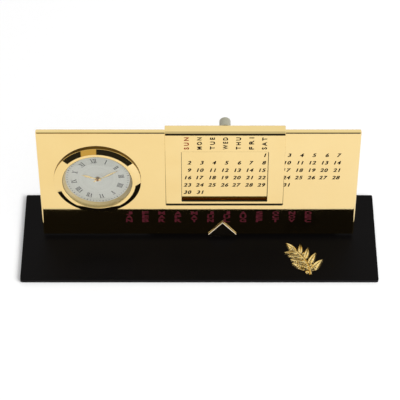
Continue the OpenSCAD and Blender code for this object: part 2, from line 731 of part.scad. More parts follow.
module leaf_sprig() color([0.85, 0.65, 0.25]) {
    pairs = 4;
    translate([sprig_x, plate_y + sprig_y, base_top]) rotate([0, 0, sprig_turn])
    translate([-sprig_curve_r, 0, 0]) {
        difference() {
            translate([0, 0, 0.6 * stem_r])
                rotate_extrude(angle = sprig_l / sprig_curve_r * 180 / PI, $fn = 120)
                    translate([sprig_curve_r, 0]) circle(stem_r, $fn = 24);
            translate([-2 * sprig_curve_r, -2 * sprig_curve_r, -4 * sprig_curve_r])
                cube(4 * sprig_curve_r);
        }
        // paired leaves that grow smaller towards the tip, and one at the tip
        for (k = [0:pairs - 1], side = [-1, 1])
            on_stem(0.2 + 0.215 * k + 0.03 * side)
                rotate([0, 0, side * (leaf_spread - 4 * k)]) scale(1 - 0.08 * k) leaf();
        on_stem(0.93) scale(0.85) leaf();
        // berries where the leaves leave the stem, by turns left and right
        for (k = [0:3])
            on_stem(0.1 + 0.215 * k) translate([0, (k % 2 == 0 ? 1 : -1) * (stem_r + 0.7 * berry_r), 0])
                bead(berry_r);
    }
}

base_plate();
base_felt();
stand_bracket();
bracket_screws();
bracket_nuts();
main_plate();
backing_board();
plate_nuts();
case_gasket();
clock_case();
clock_bezel();
crystal();
inner_ring();
dial();
movement_ring();
movement();
hour_wheel();
motion_wheel();
minute_arbor();
hour_hand();
minute_hand();
hand_cap();
setting_knob();
button_cell();
cell_contacts();
battery_cap();
calendar_frame();
glide_pads();
clamp_bush();
clamp_tip();
clamp_knob();
month_pointer();
leaf_sprig();
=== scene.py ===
import json
import math

import bmesh
import bpy
import numpy as np
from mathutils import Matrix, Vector
from mathutils.geometry import delaunay_2d_cdt

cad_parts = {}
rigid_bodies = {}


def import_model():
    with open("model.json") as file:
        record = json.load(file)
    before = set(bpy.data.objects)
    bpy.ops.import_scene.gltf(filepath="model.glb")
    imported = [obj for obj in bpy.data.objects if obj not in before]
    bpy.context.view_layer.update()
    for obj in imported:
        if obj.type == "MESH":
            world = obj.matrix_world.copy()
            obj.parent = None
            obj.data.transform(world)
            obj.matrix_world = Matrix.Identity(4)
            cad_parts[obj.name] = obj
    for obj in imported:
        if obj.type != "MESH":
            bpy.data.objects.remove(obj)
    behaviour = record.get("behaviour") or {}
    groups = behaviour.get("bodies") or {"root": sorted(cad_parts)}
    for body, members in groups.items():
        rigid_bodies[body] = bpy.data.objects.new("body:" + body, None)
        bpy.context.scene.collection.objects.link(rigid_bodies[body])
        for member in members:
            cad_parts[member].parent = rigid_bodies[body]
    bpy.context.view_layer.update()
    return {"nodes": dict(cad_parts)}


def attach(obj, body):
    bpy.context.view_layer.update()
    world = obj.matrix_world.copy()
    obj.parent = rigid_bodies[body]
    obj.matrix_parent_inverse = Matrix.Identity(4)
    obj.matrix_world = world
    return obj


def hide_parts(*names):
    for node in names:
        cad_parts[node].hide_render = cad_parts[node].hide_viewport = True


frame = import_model()

# Lengths are millimetres until addPiece puts them into a mesh. Plate axes: x to the right,
# y to the back through the plate, v up along it. Clock axes: x, y up, z out of the bezel's seat.
mm = 0.001
plate = dict(width=180, height=77.5, depth=2.8, sheet=0.8, edge=1.0, corner=0.8, lip=0.15, hole=22.75,
             lean=math.radians(10), x=-0.5, foot=5.5)
clock = dict(x=-56.9, v=43.2, turn=math.radians(8), tilt=math.radians(2), radius=24.65)


def onPlate(points):
    # plate axes to the frame: leaned back by the plate's lean, foot on the plate's bottom edge
    x, y, v = np.moveaxis(np.asarray(points, float), -1, 0)
    s, c = math.sin(plate["lean"]), math.cos(plate["lean"])
    return np.stack([x + plate["x"], y * c + v * s, plate["foot"] - y * s + v * c], -1)


def onClock(points):
    # the insert stands out a little at its top: tilted about the foot of its bezel
    x, y, z = np.moveaxis(np.asarray(points, float), -1, 0)
    s, c = math.sin(clock["tilt"]), math.cos(clock["tilt"])
    up, foot = y + clock["radius"], clock["v"] - clock["radius"]
    return onPlate(np.stack([x + clock["x"], -up * s - z * c, foot + up * c - z * s], -1))


def turned(points, angle):
    # about the z axis, anticlockwise
    x, y, z = np.moveaxis(np.asarray(points, float), -1, 0)
    s, c = math.sin(angle), math.cos(angle)
    return np.stack([x * c - y * s, x * s + y * c, z], -1)


# mesh tools: a part is (points, [face index arrays, one array for each number of corners])


def gridFaces(rows, cols, wrapRows=False, wrapCols=False):
    # quads between neighbouring rows and columns of a grid of points
    i = np.arange(rows if wrapRows else rows - 1)[:, None]
    j = np.arange(cols if wrapCols else cols - 1)[None, :]
    nextI, nextJ = (i + 1) % rows, (j + 1) % cols
    corners = [i * cols + j, i * cols + nextJ, nextI * cols + nextJ, nextI * cols + j]
    return np.stack(np.broadcast_arrays(*corners), -1).reshape(-1, 4)


def shifted(part, count):
    return part[0], [f + count for f in part[1]]


def joined(parts):
    points, faces, count = [], [], 0
    for part in parts:
        points.append(part[0])
        faces += shifted(part, count)[1]
        count += len(part[0])
    return np.concatenate(points), faces


def outward(part):
    # turns the faces round if the volume that they enclose comes out negative
    points, faces = part
    volume = 0.0
    for f in faces:
        for k in range(1, f.shape[1] - 1):
            a, b, c = points[f[:, 0]], points[f[:, k]], points[f[:, k + 1]]
            volume += np.einsum("ij,ij->", a, np.cross(b, c))
    return part if volume > 0 else (points, [f[:, ::-1] for f in faces])


def placed(part, place):
    return place(part[0]), part[1]


def revolve(profile, steps=160, closed=False):
    # each (radius, height) of the profile carried round the z axis; a radius of 0 is one pole
    profile = np.asarray(profile, float)
    turn = np.linspace(0, 2 * np.pi, steps, endpoint=False)
    body = profile if closed else profile[1:-1]
    r, z = body[:, 0:1], body[:, 1:2]
    points = np.stack([r * np.cos(turn), r * np.sin(turn), np.broadcast_to(z, (len(body), steps))], -1)
    points = points.reshape(-1, 3)
    faces = [gridFaces(len(body), steps, wrapRows=closed, wrapCols=True)]
    if not closed:
        first, last = len(points), len(points) + 1
        points = np.vstack([points, [0, 0, profile[0, 1]], [0, 0, profile[-1, 1]]])
        here = np.arange(steps)
        there = (here + 1) % steps
        end = (len(body) - 1) * steps
        faces.append(np.stack([np.full(steps, first), there, here], -1))
        faces.append(np.stack([np.full(steps, last), end + here, end + there], -1))
    return points, faces


def softPath(corners, closed=False, steps=5):
    # corners (x, y, radius); each with a radius is an arc that touches both of its sides
    out, n = [], len(corners)
    for k, (x, y, radius) in enumerate(corners):
        p = np.array([x, y], float)
        if radius == 0 or (not closed and k in (0, n - 1)):
            out.append(p)
            continue
        a = np.array(corners[k - 1][:2], float) - p
        b = np.array(corners[(k + 1) % n][:2], float) - p
        a, b = a / np.linalg.norm(a), b / np.linalg.norm(b)
        half = math.acos(np.clip(a @ b, -1, 1)) / 2
        middle = (a + b) / np.linalg.norm(a + b)
        centre = p + middle * radius / math.sin(half)
        start, end = p + a * radius / math.tan(half) - centre, p + b * radius / math.tan(half) - centre
        span = math.acos(np.clip(start @ end / radius ** 2, -1, 1))
        for t in np.linspace(0, 1, steps + 1):
            out.append(centre + (np.sin((1 - t) * span) * start + np.sin(t * span) * end) / math.sin(span))
    return np.array(out)


def roundRect(width, height, corner, inset=0.0, steps=6, spacing=0.0):
    # outline anticlockwise, moved in by inset; spacing above 0 also divides the straight sides
    w, h, r = width / 2 - inset, height / 2 - inset, max(corner - inset, 0.02)
    outline = []
    for cx, cy, start in ((w - r, h - r, 0), (r - w, h - r, 90), (r - w, r - h, 180), (w - r, r - h, 270)):
        a = np.radians(start + np.linspace(0, 90, steps + 1))
        outline.append(np.stack([cx + r * np.cos(a), cy + r * np.sin(a)], -1))
    if spacing:
        sides = []
        for k, arc in enumerate(outline):
            gap = outline[(k + 1) % 4][0] - arc[-1]
            count = max(1, int(round((width if abs(gap[0]) > abs(gap[1]) else height) / spacing)))
            sides += [arc, arc[-1] + gap * np.linspace(0, 1, count + 1)[1:-1, None]]
        outline = sides
    return np.concatenate(outline)


def roundEdge(radius, low, high, steps=5):
    # (inset, height) of a wall whose upper and lower edges are round, with a flat rim beside each
    a = np.linspace(0, np.pi / 2, steps + 1)
    s, c = radius * (1 - np.sin(a)), radius * (1 - np.cos(a))
    under = [(radius + 0.05, low)] + list(zip(s, low + c))
    over = list(zip(s[::-1], high - c[::-1])) + [(radius + 0.05, high)]
    return under + over


def tubeFaces(rows, cols):
    # rings of cols points, joined to one another and closed by a flat face at each end
    ends = np.stack([np.arange(cols)[::-1], np.arange(cols) + (rows - 1) * cols])
    return [gridFaces(rows, cols, wrapCols=True), ends]


def slab(outline, rings):
    # outline(inset) at each (inset, height), closed by a flat face below and above
    layers = []
    for inset, height in rings:
        flat = outline(inset)
        layers.append(np.column_stack([flat, np.full(len(flat), height)]))
    return np.concatenate(layers), tubeFaces(len(layers), len(layers[0]))


def inside(points, outline):
    # even-odd rule: how many sides of the outline lie to the right of each point
    x, y = points[:, 0:1], points[:, 1:2]
    x0, y0 = outline[:, 0], outline[:, 1]
    x1, y1 = np.roll(x0, -1), np.roll(y0, -1)
    with np.errstate(divide="ignore", invalid="ignore"):
        crosses = ((y0 > y) != (y1 > y)) & (x < (x1 - x0) * (y - y0) / (y1 - y0) + x0)
    return crosses.sum(1) % 2 == 1


def cutFlat(outlines, holes=(), lines=()):
    # triangles inside any of the outlines and outside every hole, with the lines as edges
    points, edges = [], []
    for loop, isClosed in [(o, True) for o in (*outlines, *holes)] + [(li, False) for li in lines]:
        start, count = len(points), len(loop)
        points += [Vector((float(p[0]), float(p[1]))) for p in loop]
        last = count if isClosed else count - 1
        edges += [(start + k, start + (k + 1) % count) for k in range(last)]
    made = delaunay_2d_cdt(points, edges, [], 0, 1e-5)
    flat = np.array([p[:] for p in made[0]])
    triangles = np.array(made[2])
    middle = flat[triangles].mean(1)
    keep = np.any([inside(middle, np.asarray(o)) for o in outlines], axis=0)
    for hole in holes:
        keep &= ~inside(middle, np.asarray(hole))
    triangles = triangles[keep]
    used, triangles = np.unique(triangles, return_inverse=True)
    return flat[used], triangles.reshape(-1, 3)


def thicken(flat, triangles, front, back):
    # the flat shape mapped to its front and its back, joined along the edges used only once
    n = len(flat)
    sides = np.concatenate([triangles[:, [0, 1]], triangles[:, [1, 2]], triangles[:, [2, 0]]])
    _, where, count = np.unique(np.sort(sides, 1), axis=0, return_index=True, return_counts=True)
    rim = sides[where[count == 1]]
    walls = np.column_stack([rim[:, 1], rim[:, 0], rim[:, 0] + n, rim[:, 1] + n])
    return np.concatenate([front(flat), back(flat)]), [triangles, triangles[:, ::-1] + n, walls]


def atHeight(z):
    # lays flat points at one height
    return lambda p: np.column_stack([p, np.full(len(p), z)])


def newObject(name, data):
    made = bpy.data.objects.new(name, data)
    bpy.context.scene.collection.objects.link(made)
    return made


def addPiece(name, parts, finish, body="stand", replaced=(), sharp=30, bevel=None):
    # one mesh object at the origin, in metres, with its normals split where faces meet sharply
    points, faces = joined([outward(p) for p in parts])
    mesh = bpy.data.meshes.new(name)
    mesh.from_pydata((points * mm).tolist(), [], [f for group in faces for f in group.tolist()])
    mesh.validate()
    mesh.update()
    mesh.shade_smooth()
    mesh.set_sharp_from_angle(angle=math.radians(sharp))
    mesh.materials.append(finish)
    piece = newObject(name, mesh)
    if bevel:
        edge = piece.modifiers.new("roundedEdges", "BEVEL")
        edge.width, edge.segments, edge.limit_method = bevel * mm, 4, "ANGLE"
        edge.angle_limit, edge.harden_normals, edge.use_clamp_overlap = math.radians(50), True, False
    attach(piece, body)
    if replaced:
        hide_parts(*replaced)
    return piece


# shader tools


def nodeGroup(name, inputs, outputs):
    group = bpy.data.node_groups.new(name, "ShaderNodeTree")
    for label, kind, value in inputs:
        socket = group.interface.new_socket(label, in_out="INPUT", socket_type="NodeSocket" + kind)
        if value is not None:
            socket.default_value = value
    for label, kind in outputs:
        group.interface.new_socket(label, in_out="OUTPUT", socket_type="NodeSocket" + kind)
    return group, group.nodes.new("NodeGroupInput"), group.nodes.new("NodeGroupOutput")


def feed(tree, source, socket):
    # a link from another node's output, or a value put into the socket
    if isinstance(source, bpy.types.NodeSocket):
        tree.links.new(source, socket)
    else:
        socket.default_value = (*source, 1) if socket.type == "RGBA" else source


def addNode(tree, kind, **inputs):
    # a node with its inputs fed; _ in a name stands for a space
    node = tree.nodes.new("ShaderNode" + kind)
    for label, source in inputs.items():
        feed(tree, source, node.inputs[label.replace("_", " ")])
    return node


def maths(tree, operation, *values):
    node = tree.nodes.new("ShaderNodeMath")
    node.operation = operation
    for socket, source in zip(node.inputs, values):
        feed(tree, source, socket)
    return node.outputs[0]


def vectorMaths(tree, operation, *values):
    node = tree.nodes.new("ShaderNodeVectorMath")
    node.operation = operation
    for socket, source in zip(node.inputs, values):
        feed(tree, source, socket)
    return node.outputs["Value" if operation in ("LENGTH", "DOT_PRODUCT") else "Vector"]


def mapRange(tree, value, low, high, toLow, toHigh):
    node = addNode(tree, "MapRange", Value=value, From_Min=low, From_Max=high, To_Min=toLow, To_Max=toHigh)
    return node.outputs["Result"]


def mixed(tree, factor, first, second):
    # from the first colour to the second as the factor goes from 0 to 1
    node = tree.nodes.new("ShaderNodeMix")
    node.data_type = "RGBA"
    for index, source in ((0, factor), (6, first), (7, second)):
        feed(tree, source, node.inputs[index])
    return node.outputs[2]


def mixedShaders(tree, factor, first, second):
    node = tree.nodes.new("ShaderNodeMixShader")
    for socket, source in zip(node.inputs, (factor, first, second)):
        feed(tree, source, socket)
    return node.outputs[0]


def objectPlace(tree):
    return tree.nodes.new("ShaderNodeTexCoord").outputs["Object"]


def makeGrainGroup():
    # soft noise over the surface: a value, and a normal bent by the same noise
    group, given, out = nodeGroup("surfaceGrain", [
        ("Scale", "Float", 1000.0), ("Detail", "Float", 3.0), ("Stretch", "Vector", (1, 1, 1)),
        ("Bump", "Float", 0.1), ("Height", "Float", 0.00002)], [("Value", "Float"), ("Normal", "Vector")])
    given = given.outputs
    place = vectorMaths(group, "MULTIPLY", objectPlace(group), given["Stretch"])
    noise = addNode(group, "TexNoise", Vector=place, Scale=given["Scale"], Detail=given["Detail"]).outputs[0]
    bump = addNode(group, "Bump", Strength=given["Bump"], Distance=given["Height"], Height=noise)
    feed(group, noise, out.inputs["Value"])
    feed(group, bump.outputs[0], out.inputs["Normal"])
    return group


def makeRingsGroup():
    # fine rings round an axis through a centre, as a lathe leaves them
    group, given, out = nodeGroup("latheRings", [
        ("Centre", "Vector", (0, 0, 0)), ("Axis", "Vector", (0, 0, 1)), ("Rings per metre", "Float", 8000.0),
        ("Bump", "Float", 0.1)], [("Value", "Float"), ("Normal", "Vector")])
    given = given.outputs
    away = vectorMaths(group, "SUBTRACT", objectPlace(group), given["Centre"])
    radius = vectorMaths(group, "LENGTH", vectorMaths(group, "CROSS_PRODUCT", away, given["Axis"]))
    along = vectorMaths(group, "DOT_PRODUCT", away, given["Axis"])
    perMetre = given["Rings per metre"]
    place = addNode(group, "CombineXYZ", X=maths(group, "MULTIPLY", radius, perMetre),
                    Y=maths(group, "MULTIPLY", along, perMetre))
    noise = addNode(group, "TexNoise", Vector=place.outputs[0], Scale=1.0, Detail=2.0).outputs[0]
    bump = addNode(group, "Bump", Strength=given["Bump"], Distance=0.00001, Height=noise)
    feed(group, noise, out.inputs["Value"])
    feed(group, bump.outputs[0], out.inputs["Normal"])
    return group


grainGroup = makeGrainGroup()
ringsGroup = makeRingsGroup()


def newFinish(name, **values):
    # a material with a Principled shader; values are its own sockets
    finish = bpy.data.materials.new(name)
    finish.use_nodes = True
    tree = finish.node_tree
    shader = tree.nodes["Principled BSDF"]
    for label, value in values.items():
        feed(tree, value, shader.inputs[label.replace("_", " ")])
    return finish, tree, shader


def useGroup(tree, group, **values):
    node = tree.nodes.new("ShaderNodeGroup")
    node.node_tree = group
    for label, value in values.items():
        feed(tree, value, node.inputs[label.replace("_", " ")])
    return node.outputs


def worked(name, low, high, rough, group, settings, values):
    # colour and roughness vary a little with the group's value, and its normal bends the surface
    finish, tree, shader = newFinish(name, **values)
    pattern = useGroup(tree, group, **settings)
    spread = mapRange(tree, pattern["Value"], 0.3, 0.7, 0, 1)
    feed(tree, mixed(tree, spread, low, high), shader.inputs["Base Color"])
    feed(tree, mapRange(tree, pattern["Value"], 0.3, 0.7, *rough), shader.inputs["Roughness"])
    feed(tree, pattern["Normal"], shader.inputs["Normal"])
    return finish


def grained(name, low, high, rough, grain, **values):
    return worked(name, low, high, rough, grainGroup, grain, values)


def lathed(name, low, high, rough, centre, axis, rings, bump, **values):
    settings = dict(Centre=centre, Axis=axis, Rings_per_metre=rings, Bump=bump)
    return worked(name, low, high, rough, ringsGroup, settings, values)


# finishes

clockAxis = tuple(np.diff(onClock([[0, 0, 0], [0, 0, 1]]), axis=0)[0])
clockCentre = tuple(onClock([0, 0, 0]) * mm)
knobCentre = tuple(onPlate([14.75, 0, 75.25]) * mm)  # on the clamp screw's axis

gold = dict(low=(0.885, 0.675, 0.295), high=(0.905, 0.705, 0.32), rough=(0.025, 0.05), Metallic=1.0)
polishedGold = grained("polishedGold", grain=dict(Scale=35.0, Detail=2.0, Bump=0.04, Height=0.0004), **gold)
frameGold = grained("frameGold", grain=dict(Scale=60.0, Detail=1.0, Bump=0.02, Height=0.0003), **gold)
castGold = grained("castGold", (0.90, 0.58, 0.14), (1.0, 0.82, 0.40), (0.04, 0.12),
                   dict(Scale=700.0, Detail=3.0, Bump=0.4, Height=0.0001), Metallic=1.0)
# near-black metal for the window's cut walls and the frame's rolled foot: painted shade and painted dark
# reflection
cutEdgeShade = grained("cutEdgeShade", (0.016, 0.015, 0.008), (0.034, 0.031, 0.018), (0.3, 0.4),
                  dict(Scale=1500.0, Detail=3.0, Stretch=(0.2, 1, 1), Bump=0.1, Height=0.00002), Metallic=0.5)
# the pointer's gold is paler than the plate's, partly a painted highlight for the near-white shine on its
# narrow bars
paleHighlightGold = grained("paleHighlightGold", (0.78, 0.69, 0.54), (0.88, 0.80, 0.66), (0.03, 0.08),
                   dict(Scale=300.0, Detail=2.0, Bump=0.05, Height=0.0001), Metallic=1.0)
ringGold = lathed("ringGold", (0.47, 0.36, 0.155), (0.55, 0.43, 0.20), (0.42, 0.52), clockCentre, clockAxis,
                  9000, 0.2, Metallic=0.2)
# dark bronze for the ring under the bezel: painted shade of the gap and a painted reflection of the bezel's
# underside
gapShadeBronze = lathed("gapShadeBronze", (0.13, 0.075, 0.012), (0.20, 0.12, 0.025), (0.3, 0.4), clockCentre, clockAxis,
                5000, 0.1, Metallic=0.8)
handGold = grained("handGold", (0.80, 0.62, 0.28), (0.88, 0.70, 0.34), (0.10, 0.2),
                   dict(Scale=4000.0, Detail=2.0, Bump=0.05, Height=0.00002), Metallic=1.0)
capCopper = grained("capCopper", (0.42, 0.20, 0.06), (0.55, 0.28, 0.10), (0.15, 0.28),
                    dict(Scale=3000.0, Detail=2.0, Bump=0.05, Height=0.00002), Metallic=1.0)
wheelBrass = lathed("wheelBrass", (0.66, 0.48, 0.20), (0.80, 0.60, 0.28), (0.2, 0.35), clockCentre,
                    clockAxis, 12000, 0.2, Metallic=1.0)
satinBlack = grained("satinBlack", (0.0022, 0.0018, 0.0018), (0.0034, 0.003, 0.003), (0.32, 0.42),
                     dict(Scale=5000.0, Detail=3.0, Bump=0.15, Height=0.00002), Specular_IOR_Level=0.06)
feltBlack = grained("feltBlack", (0.006, 0.006, 0.006), (0.02, 0.02, 0.022), (0.9, 1.0),
                    dict(Scale=3500.0, Detail=5.0, Stretch=(1, 1, 0.3), Bump=0.9, Height=0.0002),
                    Sheen_Weight=0.25, Specular_IOR_Level=0.1)
fibreBoard = grained("fibreBoard", (0.012, 0.011, 0.01), (0.034, 0.03, 0.027), (0.6, 0.8),
                     dict(Scale=900.0, Detail=6.0, Stretch=(0.35, 1, 1), Bump=0.4, Height=0.0001),
                     Specular_IOR_Level=0.25)
blackRubber = grained("blackRubber", (0.012, 0.012, 0.012), (0.02, 0.02, 0.02), (0.6, 0.75),
                      dict(Scale=4000.0, Detail=2.0, Bump=0.2, Height=0.00002))
blackPlastic = grained("blackPlastic", (0.014, 0.014, 0.015), (0.022, 0.022, 0.024), (0.38, 0.5),
                       dict(Scale=6000.0, Detail=2.0, Bump=0.35, Height=0.00003))
whitePlastic = grained("whitePlastic", (0.62, 0.61, 0.55), (0.7, 0.69, 0.63), (0.4, 0.5),
                       dict(Scale=2500.0, Detail=2.0, Bump=0.1, Height=0.00002))
zincSteel = grained("zincSteel", (0.5, 0.5, 0.47), (0.62, 0.62, 0.6), (0.22, 0.4),
                    dict(Scale=2500.0, Detail=4.0, Bump=0.15, Height=0.00003), Metallic=1.0)
cellSteel = grained("cellSteel", (0.6, 0.6, 0.6), (0.72, 0.72, 0.72), (0.15, 0.25),
                    dict(Scale=1500.0, Detail=3.0, Bump=0.05, Height=0.00002), Metallic=1.0)
knobAluminium = lathed("knobAluminium", (0.35, 0.345, 0.26), (0.47, 0.46, 0.36), (0.38, 0.55), knobCentre,
                       clockAxis, 7000, 0.6, Metallic=0.6)
dialWhite = lathed("dialWhite", (0.51, 0.52, 0.465), (0.55, 0.56, 0.505), (0.42, 0.5), clockCentre,
                   clockAxis, 900, 0.03)
ink = dict(grain=dict(Scale=3000.0, Detail=2.0, Bump=0.1, Height=0.00001), Specular_IOR_Level=0.1)
inkBlack = grained("inkBlack", (0.005, 0.003, 0.001), (0.009, 0.005, 0.002), (0.45, 0.6), **ink)
inkRed = grained("inkRed", (0.21, 0.018, 0.004), (0.27, 0.028, 0.006), (0.45, 0.6), **ink)
inkDarkRed = grained("inkDarkRed", (0.055, 0.007, 0.012), (0.08, 0.010, 0.017), (0.4, 0.55), **ink)
inkGrey = grained("inkGrey", (0.004, 0.006, 0.008), (0.008, 0.012, 0.014), (0.45, 0.6),
                  ink["grain"], Specular_IOR_Level=0.05)


def makeGlass():
    # clear to light that passes through it on the way from a lamp, else real glass
    finish, tree, shader = newFinish("clearGlass", Roughness=0.0, IOR=1.45, Transmission_Weight=1.0)
    pattern = useGroup(tree, grainGroup, Scale=400.0, Detail=1.0, Bump=0.01, Height=0.00001)
    spread = mapRange(tree, pattern["Value"], 0.3, 0.7, 0, 1)
    feed(tree, mixed(tree, spread, (0.985, 0.99, 0.985), (1, 1, 1)), shader.inputs["Base Color"])
    clear = tree.nodes.new("ShaderNodeBsdfTransparent").outputs[0]
    shadowRay = tree.nodes.new("ShaderNodeLightPath").outputs["Is Shadow Ray"]
    surface = mixedShaders(tree, shadowRay, shader.outputs[0], clear)
    feed(tree, surface, tree.nodes["Material Output"].inputs["Surface"])
    return finish


clearGlass = makeGlass()
print("finishes made")

# base and plate

base = dict(width=205, depth=61.4, thick=2.5, corner=1, edge=0.25, felt=0.8, feltInset=1.5, feltEdge=0.2)


def makeBase():
    top = base["felt"] + base["thick"]
    slabOutline = lambda inset: roundRect(base["width"], base["depth"], base["corner"], inset)
    addPiece("baseSlab", [slab(slabOutline, roundEdge(base["edge"], base["felt"], top))], satinBlack,
             replaced=["base_plate"])
    size = [base[k] - 2 * base["feltInset"] for k in ("width", "depth")]
    feltOutline = lambda inset: roundRect(*size, base["corner"], inset)
    addPiece("feltPad", [slab(feltOutline, roundEdge(base["feltEdge"], 0, base["felt"]))], feltBlack,
             replaced=["base_felt"])


def makePlate():
    # the section from the hole's edge out over the front, round the edge, along the flange, back
    # inside it and up the sheet's rear side, carried round the outline as seen from the clock
    w, h, sheet, depth, edge = (plate[k] for k in ("width", "height", "sheet", "depth", "edge"))
    outline = lambda inset: roundRect(w, h, plate["corner"], inset, 8, 1.5) + [0, h / 2]
    centre = np.array([clock["x"], clock["v"]])
    reach = outline(0) - centre
    holeEdge = centre + plate["hole"] * reach / np.linalg.norm(reach, axis=1)[:, None]
    lip = plate["lip"]
    section = [(edge + 0.05, 0.0)]
    for a in np.linspace(0, np.pi / 2, 9):
        section.append((edge * (1 - math.sin(a)), edge * (1 - math.cos(a))))
    section += [(0, depth - lip), (lip * 0.3, depth - lip * 0.3), (lip, depth)]
    section += [(sheet - lip, depth), (sheet - lip * 0.3, depth - lip * 0.3), (sheet, depth - lip)]
    section += [(sheet, sheet)]
    layers = [np.insert(holeEdge, 1, 0.0, axis=1)]
    layers += [np.insert(outline(inset), 1, y, axis=1) for inset, y in section]
    layers.append(np.insert(holeEdge, 1, sheet, axis=1))
    faces = [gridFaces(len(layers), len(holeEdge), wrapRows=True, wrapCols=True)]
    panel = onPlate(np.concatenate(layers)), faces
    studs = [placed(stud, onPlate) for stud in makeStuds()]
    addPiece("mainPlate", [panel] + studs, polishedGold, replaced=["main_plate"],
             sharp=40)


# riser is how far the bracket stands behind the plate's foot, and bracketTop its upper end
stud = dict(x=26, across=40, up=6.5, riser=6, bracketTop=44, low=0.4, high=6.9, plain=4.2, radius=1.25,
            pitch=0.45, threadDepth=0.14, chamfer=0.35)


def makeStuds():
    # threaded studs: the profile's radius rises and falls with each turn of the thread
    low, high, radius, pitch = (stud[k] for k in ("low", "high", "radius", "pitch"))
    z = np.arange(stud["plain"] + 0.1, high - 0.3, pitch / 4)
    thread = [(radius - stud["threadDepth"] * abs(math.sin(math.pi * v / pitch)), v) for v in z]
    profile = [(0, low), (radius, low), (radius, stud["plain"])] + thread
    profile += [(radius - stud["chamfer"], high), (0, high)]
    points, faces = revolve(profile, 32)
    # two rows, about the middle of the height over which the bracket lies against the plate
    bracketLow = (stud["riser"] - plate["depth"] * math.cos(plate["lean"])) / math.sin(plate["lean"])
    middle = (bracketLow + stud["bracketTop"]) / 2
    for x in (stud["x"] - stud["across"], stud["x"] + stud["across"]):
        for v in (middle - stud["up"], middle + stud["up"]):
            yield np.column_stack([points[:, 0] + x, points[:, 2], points[:, 1] + v]), faces


makeBase()
makePlate()
print("base and plate made")

# clock insert


insert = dict(radius=24.65, opening=19.5, high=2.35, seat=21.85, lipIn=20.1, lipOut=21.5, coneOut=24.5,
              coneAngle=math.radians(24.5), footHigh=0.7, steps=288, crystalLow=0.3, crystalHigh=1.3,
              inner=20.55, dial=-1.4, dialThick=0.4, dialShown=17.9, dialBore=1.54)


def makeInsert():
    # bezel: a narrow lip round the crystal, then a straight cone to a foot that draws in
    r, opening, high, steps = (insert[k] for k in ("radius", "opening", "high", "steps"))
    low, glass, seat = insert["crystalLow"], insert["crystalHigh"], insert["seat"]
    lipOut, coneOut, footHigh = insert["lipOut"], insert["coneOut"], insert["footHigh"]
    coneTop, coneDrop = high - 0.04, (coneOut - lipOut) * math.tan(insert["coneAngle"])
    section = softPath([
        (opening, glass, 0), (opening, high - 0.05, 0.45), (insert["lipIn"], high, 0.5),
        (lipOut, coneTop, 0.12), (coneOut, coneTop - coneDrop, 0.1), (r - 0.12, footHigh, 0),
        (r - 0.5, 0, 0.06), (seat, 0, 0.06), (seat, glass, 0.05)], closed=True, steps=10)
    bezel = addPiece("bezel", [placed(revolve(section, steps, closed=True), onClock)], polishedGold,
                     replaced=["clock_bezel"], sharp=35)
    # a ring under it fills the wedge down to the plate, whose depth grows with the height; its dark
    # bronze is painted shade of the gap and a painted reflection of the bezel's underside in the plate
    turn = np.linspace(0, 2 * np.pi, steps, endpoint=False)
    gap = (r * np.sin(turn) + r) * math.tan(clock["tilt"]) - 0.02
    rings = []
    for radius, share, rise in ((r - 0.1, 0, footHigh), (r - 0.1, 1, 0), (r - 1, 1, 0), (r - 1, 0, -0.05)):
        rings.append(np.stack([radius * np.cos(turn), radius * np.sin(turn), rise - share * gap], -1))
    wedge = np.concatenate(rings), [gridFaces(len(rings), steps, wrapRows=True, wrapCols=True)]
    bezelSeat = addPiece("bezelSeat", [placed(wedge, onClock)], gapShadeBronze, sharp=35)
    # the plate under them doesn't mirror these two
    bezel.visible_glossy = bezelSeat.visible_glossy = False
    inner, dial, thick = insert["inner"], insert["dial"], insert["dialThick"]
    disc = softPath([(0, low, 0), (inner, low, 0.1), (inner, glass, 0.1), (0, glass, 0)], steps=4)
    addPiece("crystal", [placed(revolve(disc, 192), onClock)], clearGlass, replaced=["crystal"])
    shown = insert["dialShown"]
    wall = softPath([(shown, dial, 0), (inner, dial, 0), (inner, low, 0), (opening, low, 0.1),
                     (shown, dial + 0.06, 0.05)], closed=True, steps=4)
    addPiece("dialRing", [placed(revolve(wall, 192, closed=True), onClock)], ringGold,
             replaced=["inner_ring"])
    bore, back = insert["dialBore"], dial - thick
    disc = softPath([(bore, back, 0), (inner, back, 0), (inner, dial, 0.05), (bore, dial, 0.05)], closed=True)
    addPiece("dialPlate", [placed(revolve(disc, 192, closed=True), onClock)], dialWhite,
             replaced=["dial"])


# a numeral's strokes: lines (x0, y0, x1, y1, thickness) in a box of height 1; serifs by their middles
numeralStrokes = {
    "I": dict(width=0.34, strokes=[(0.17, 0, 0.17, 1, 0.17)], serifs=[(0.17, 0), (0.17, 1)]),
    "V": dict(width=0.72, strokes=[(0.14, 1, 0.36, 0, 0.17), (0.58, 1, 0.36, 0, 0.06)],
              serifs=[(0.14, 1), (0.58, 1)]),
    "X": dict(width=0.74, strokes=[(0.12, 1, 0.62, 0, 0.17), (0.62, 1, 0.12, 0, 0.06)],
              serifs=[(0.12, 1), (0.62, 1), (0.12, 0), (0.62, 0)]),
}
dialPrint = dict(numerals=["XII", "I", "II", "III", "IIII", "V", "VI", "VII", "VIII", "IX", "X", "XI"],
                 height=2.9, radius=13.3, squeeze=0.82, serif=(0.15, 0.03), ink=0.02,
                 tickRing=16.6, tick=(0.26, 0.75), bigTick=(0.42, 0.95))


def strokeOutline(x0, y0, x1, y1, thick):
    # a bar of constant horizontal thickness between two heights
    return np.array([[x0 - thick / 2, y0], [x0 + thick / 2, y0], [x1 + thick / 2, y1], [x1 - thick / 2, y1]])


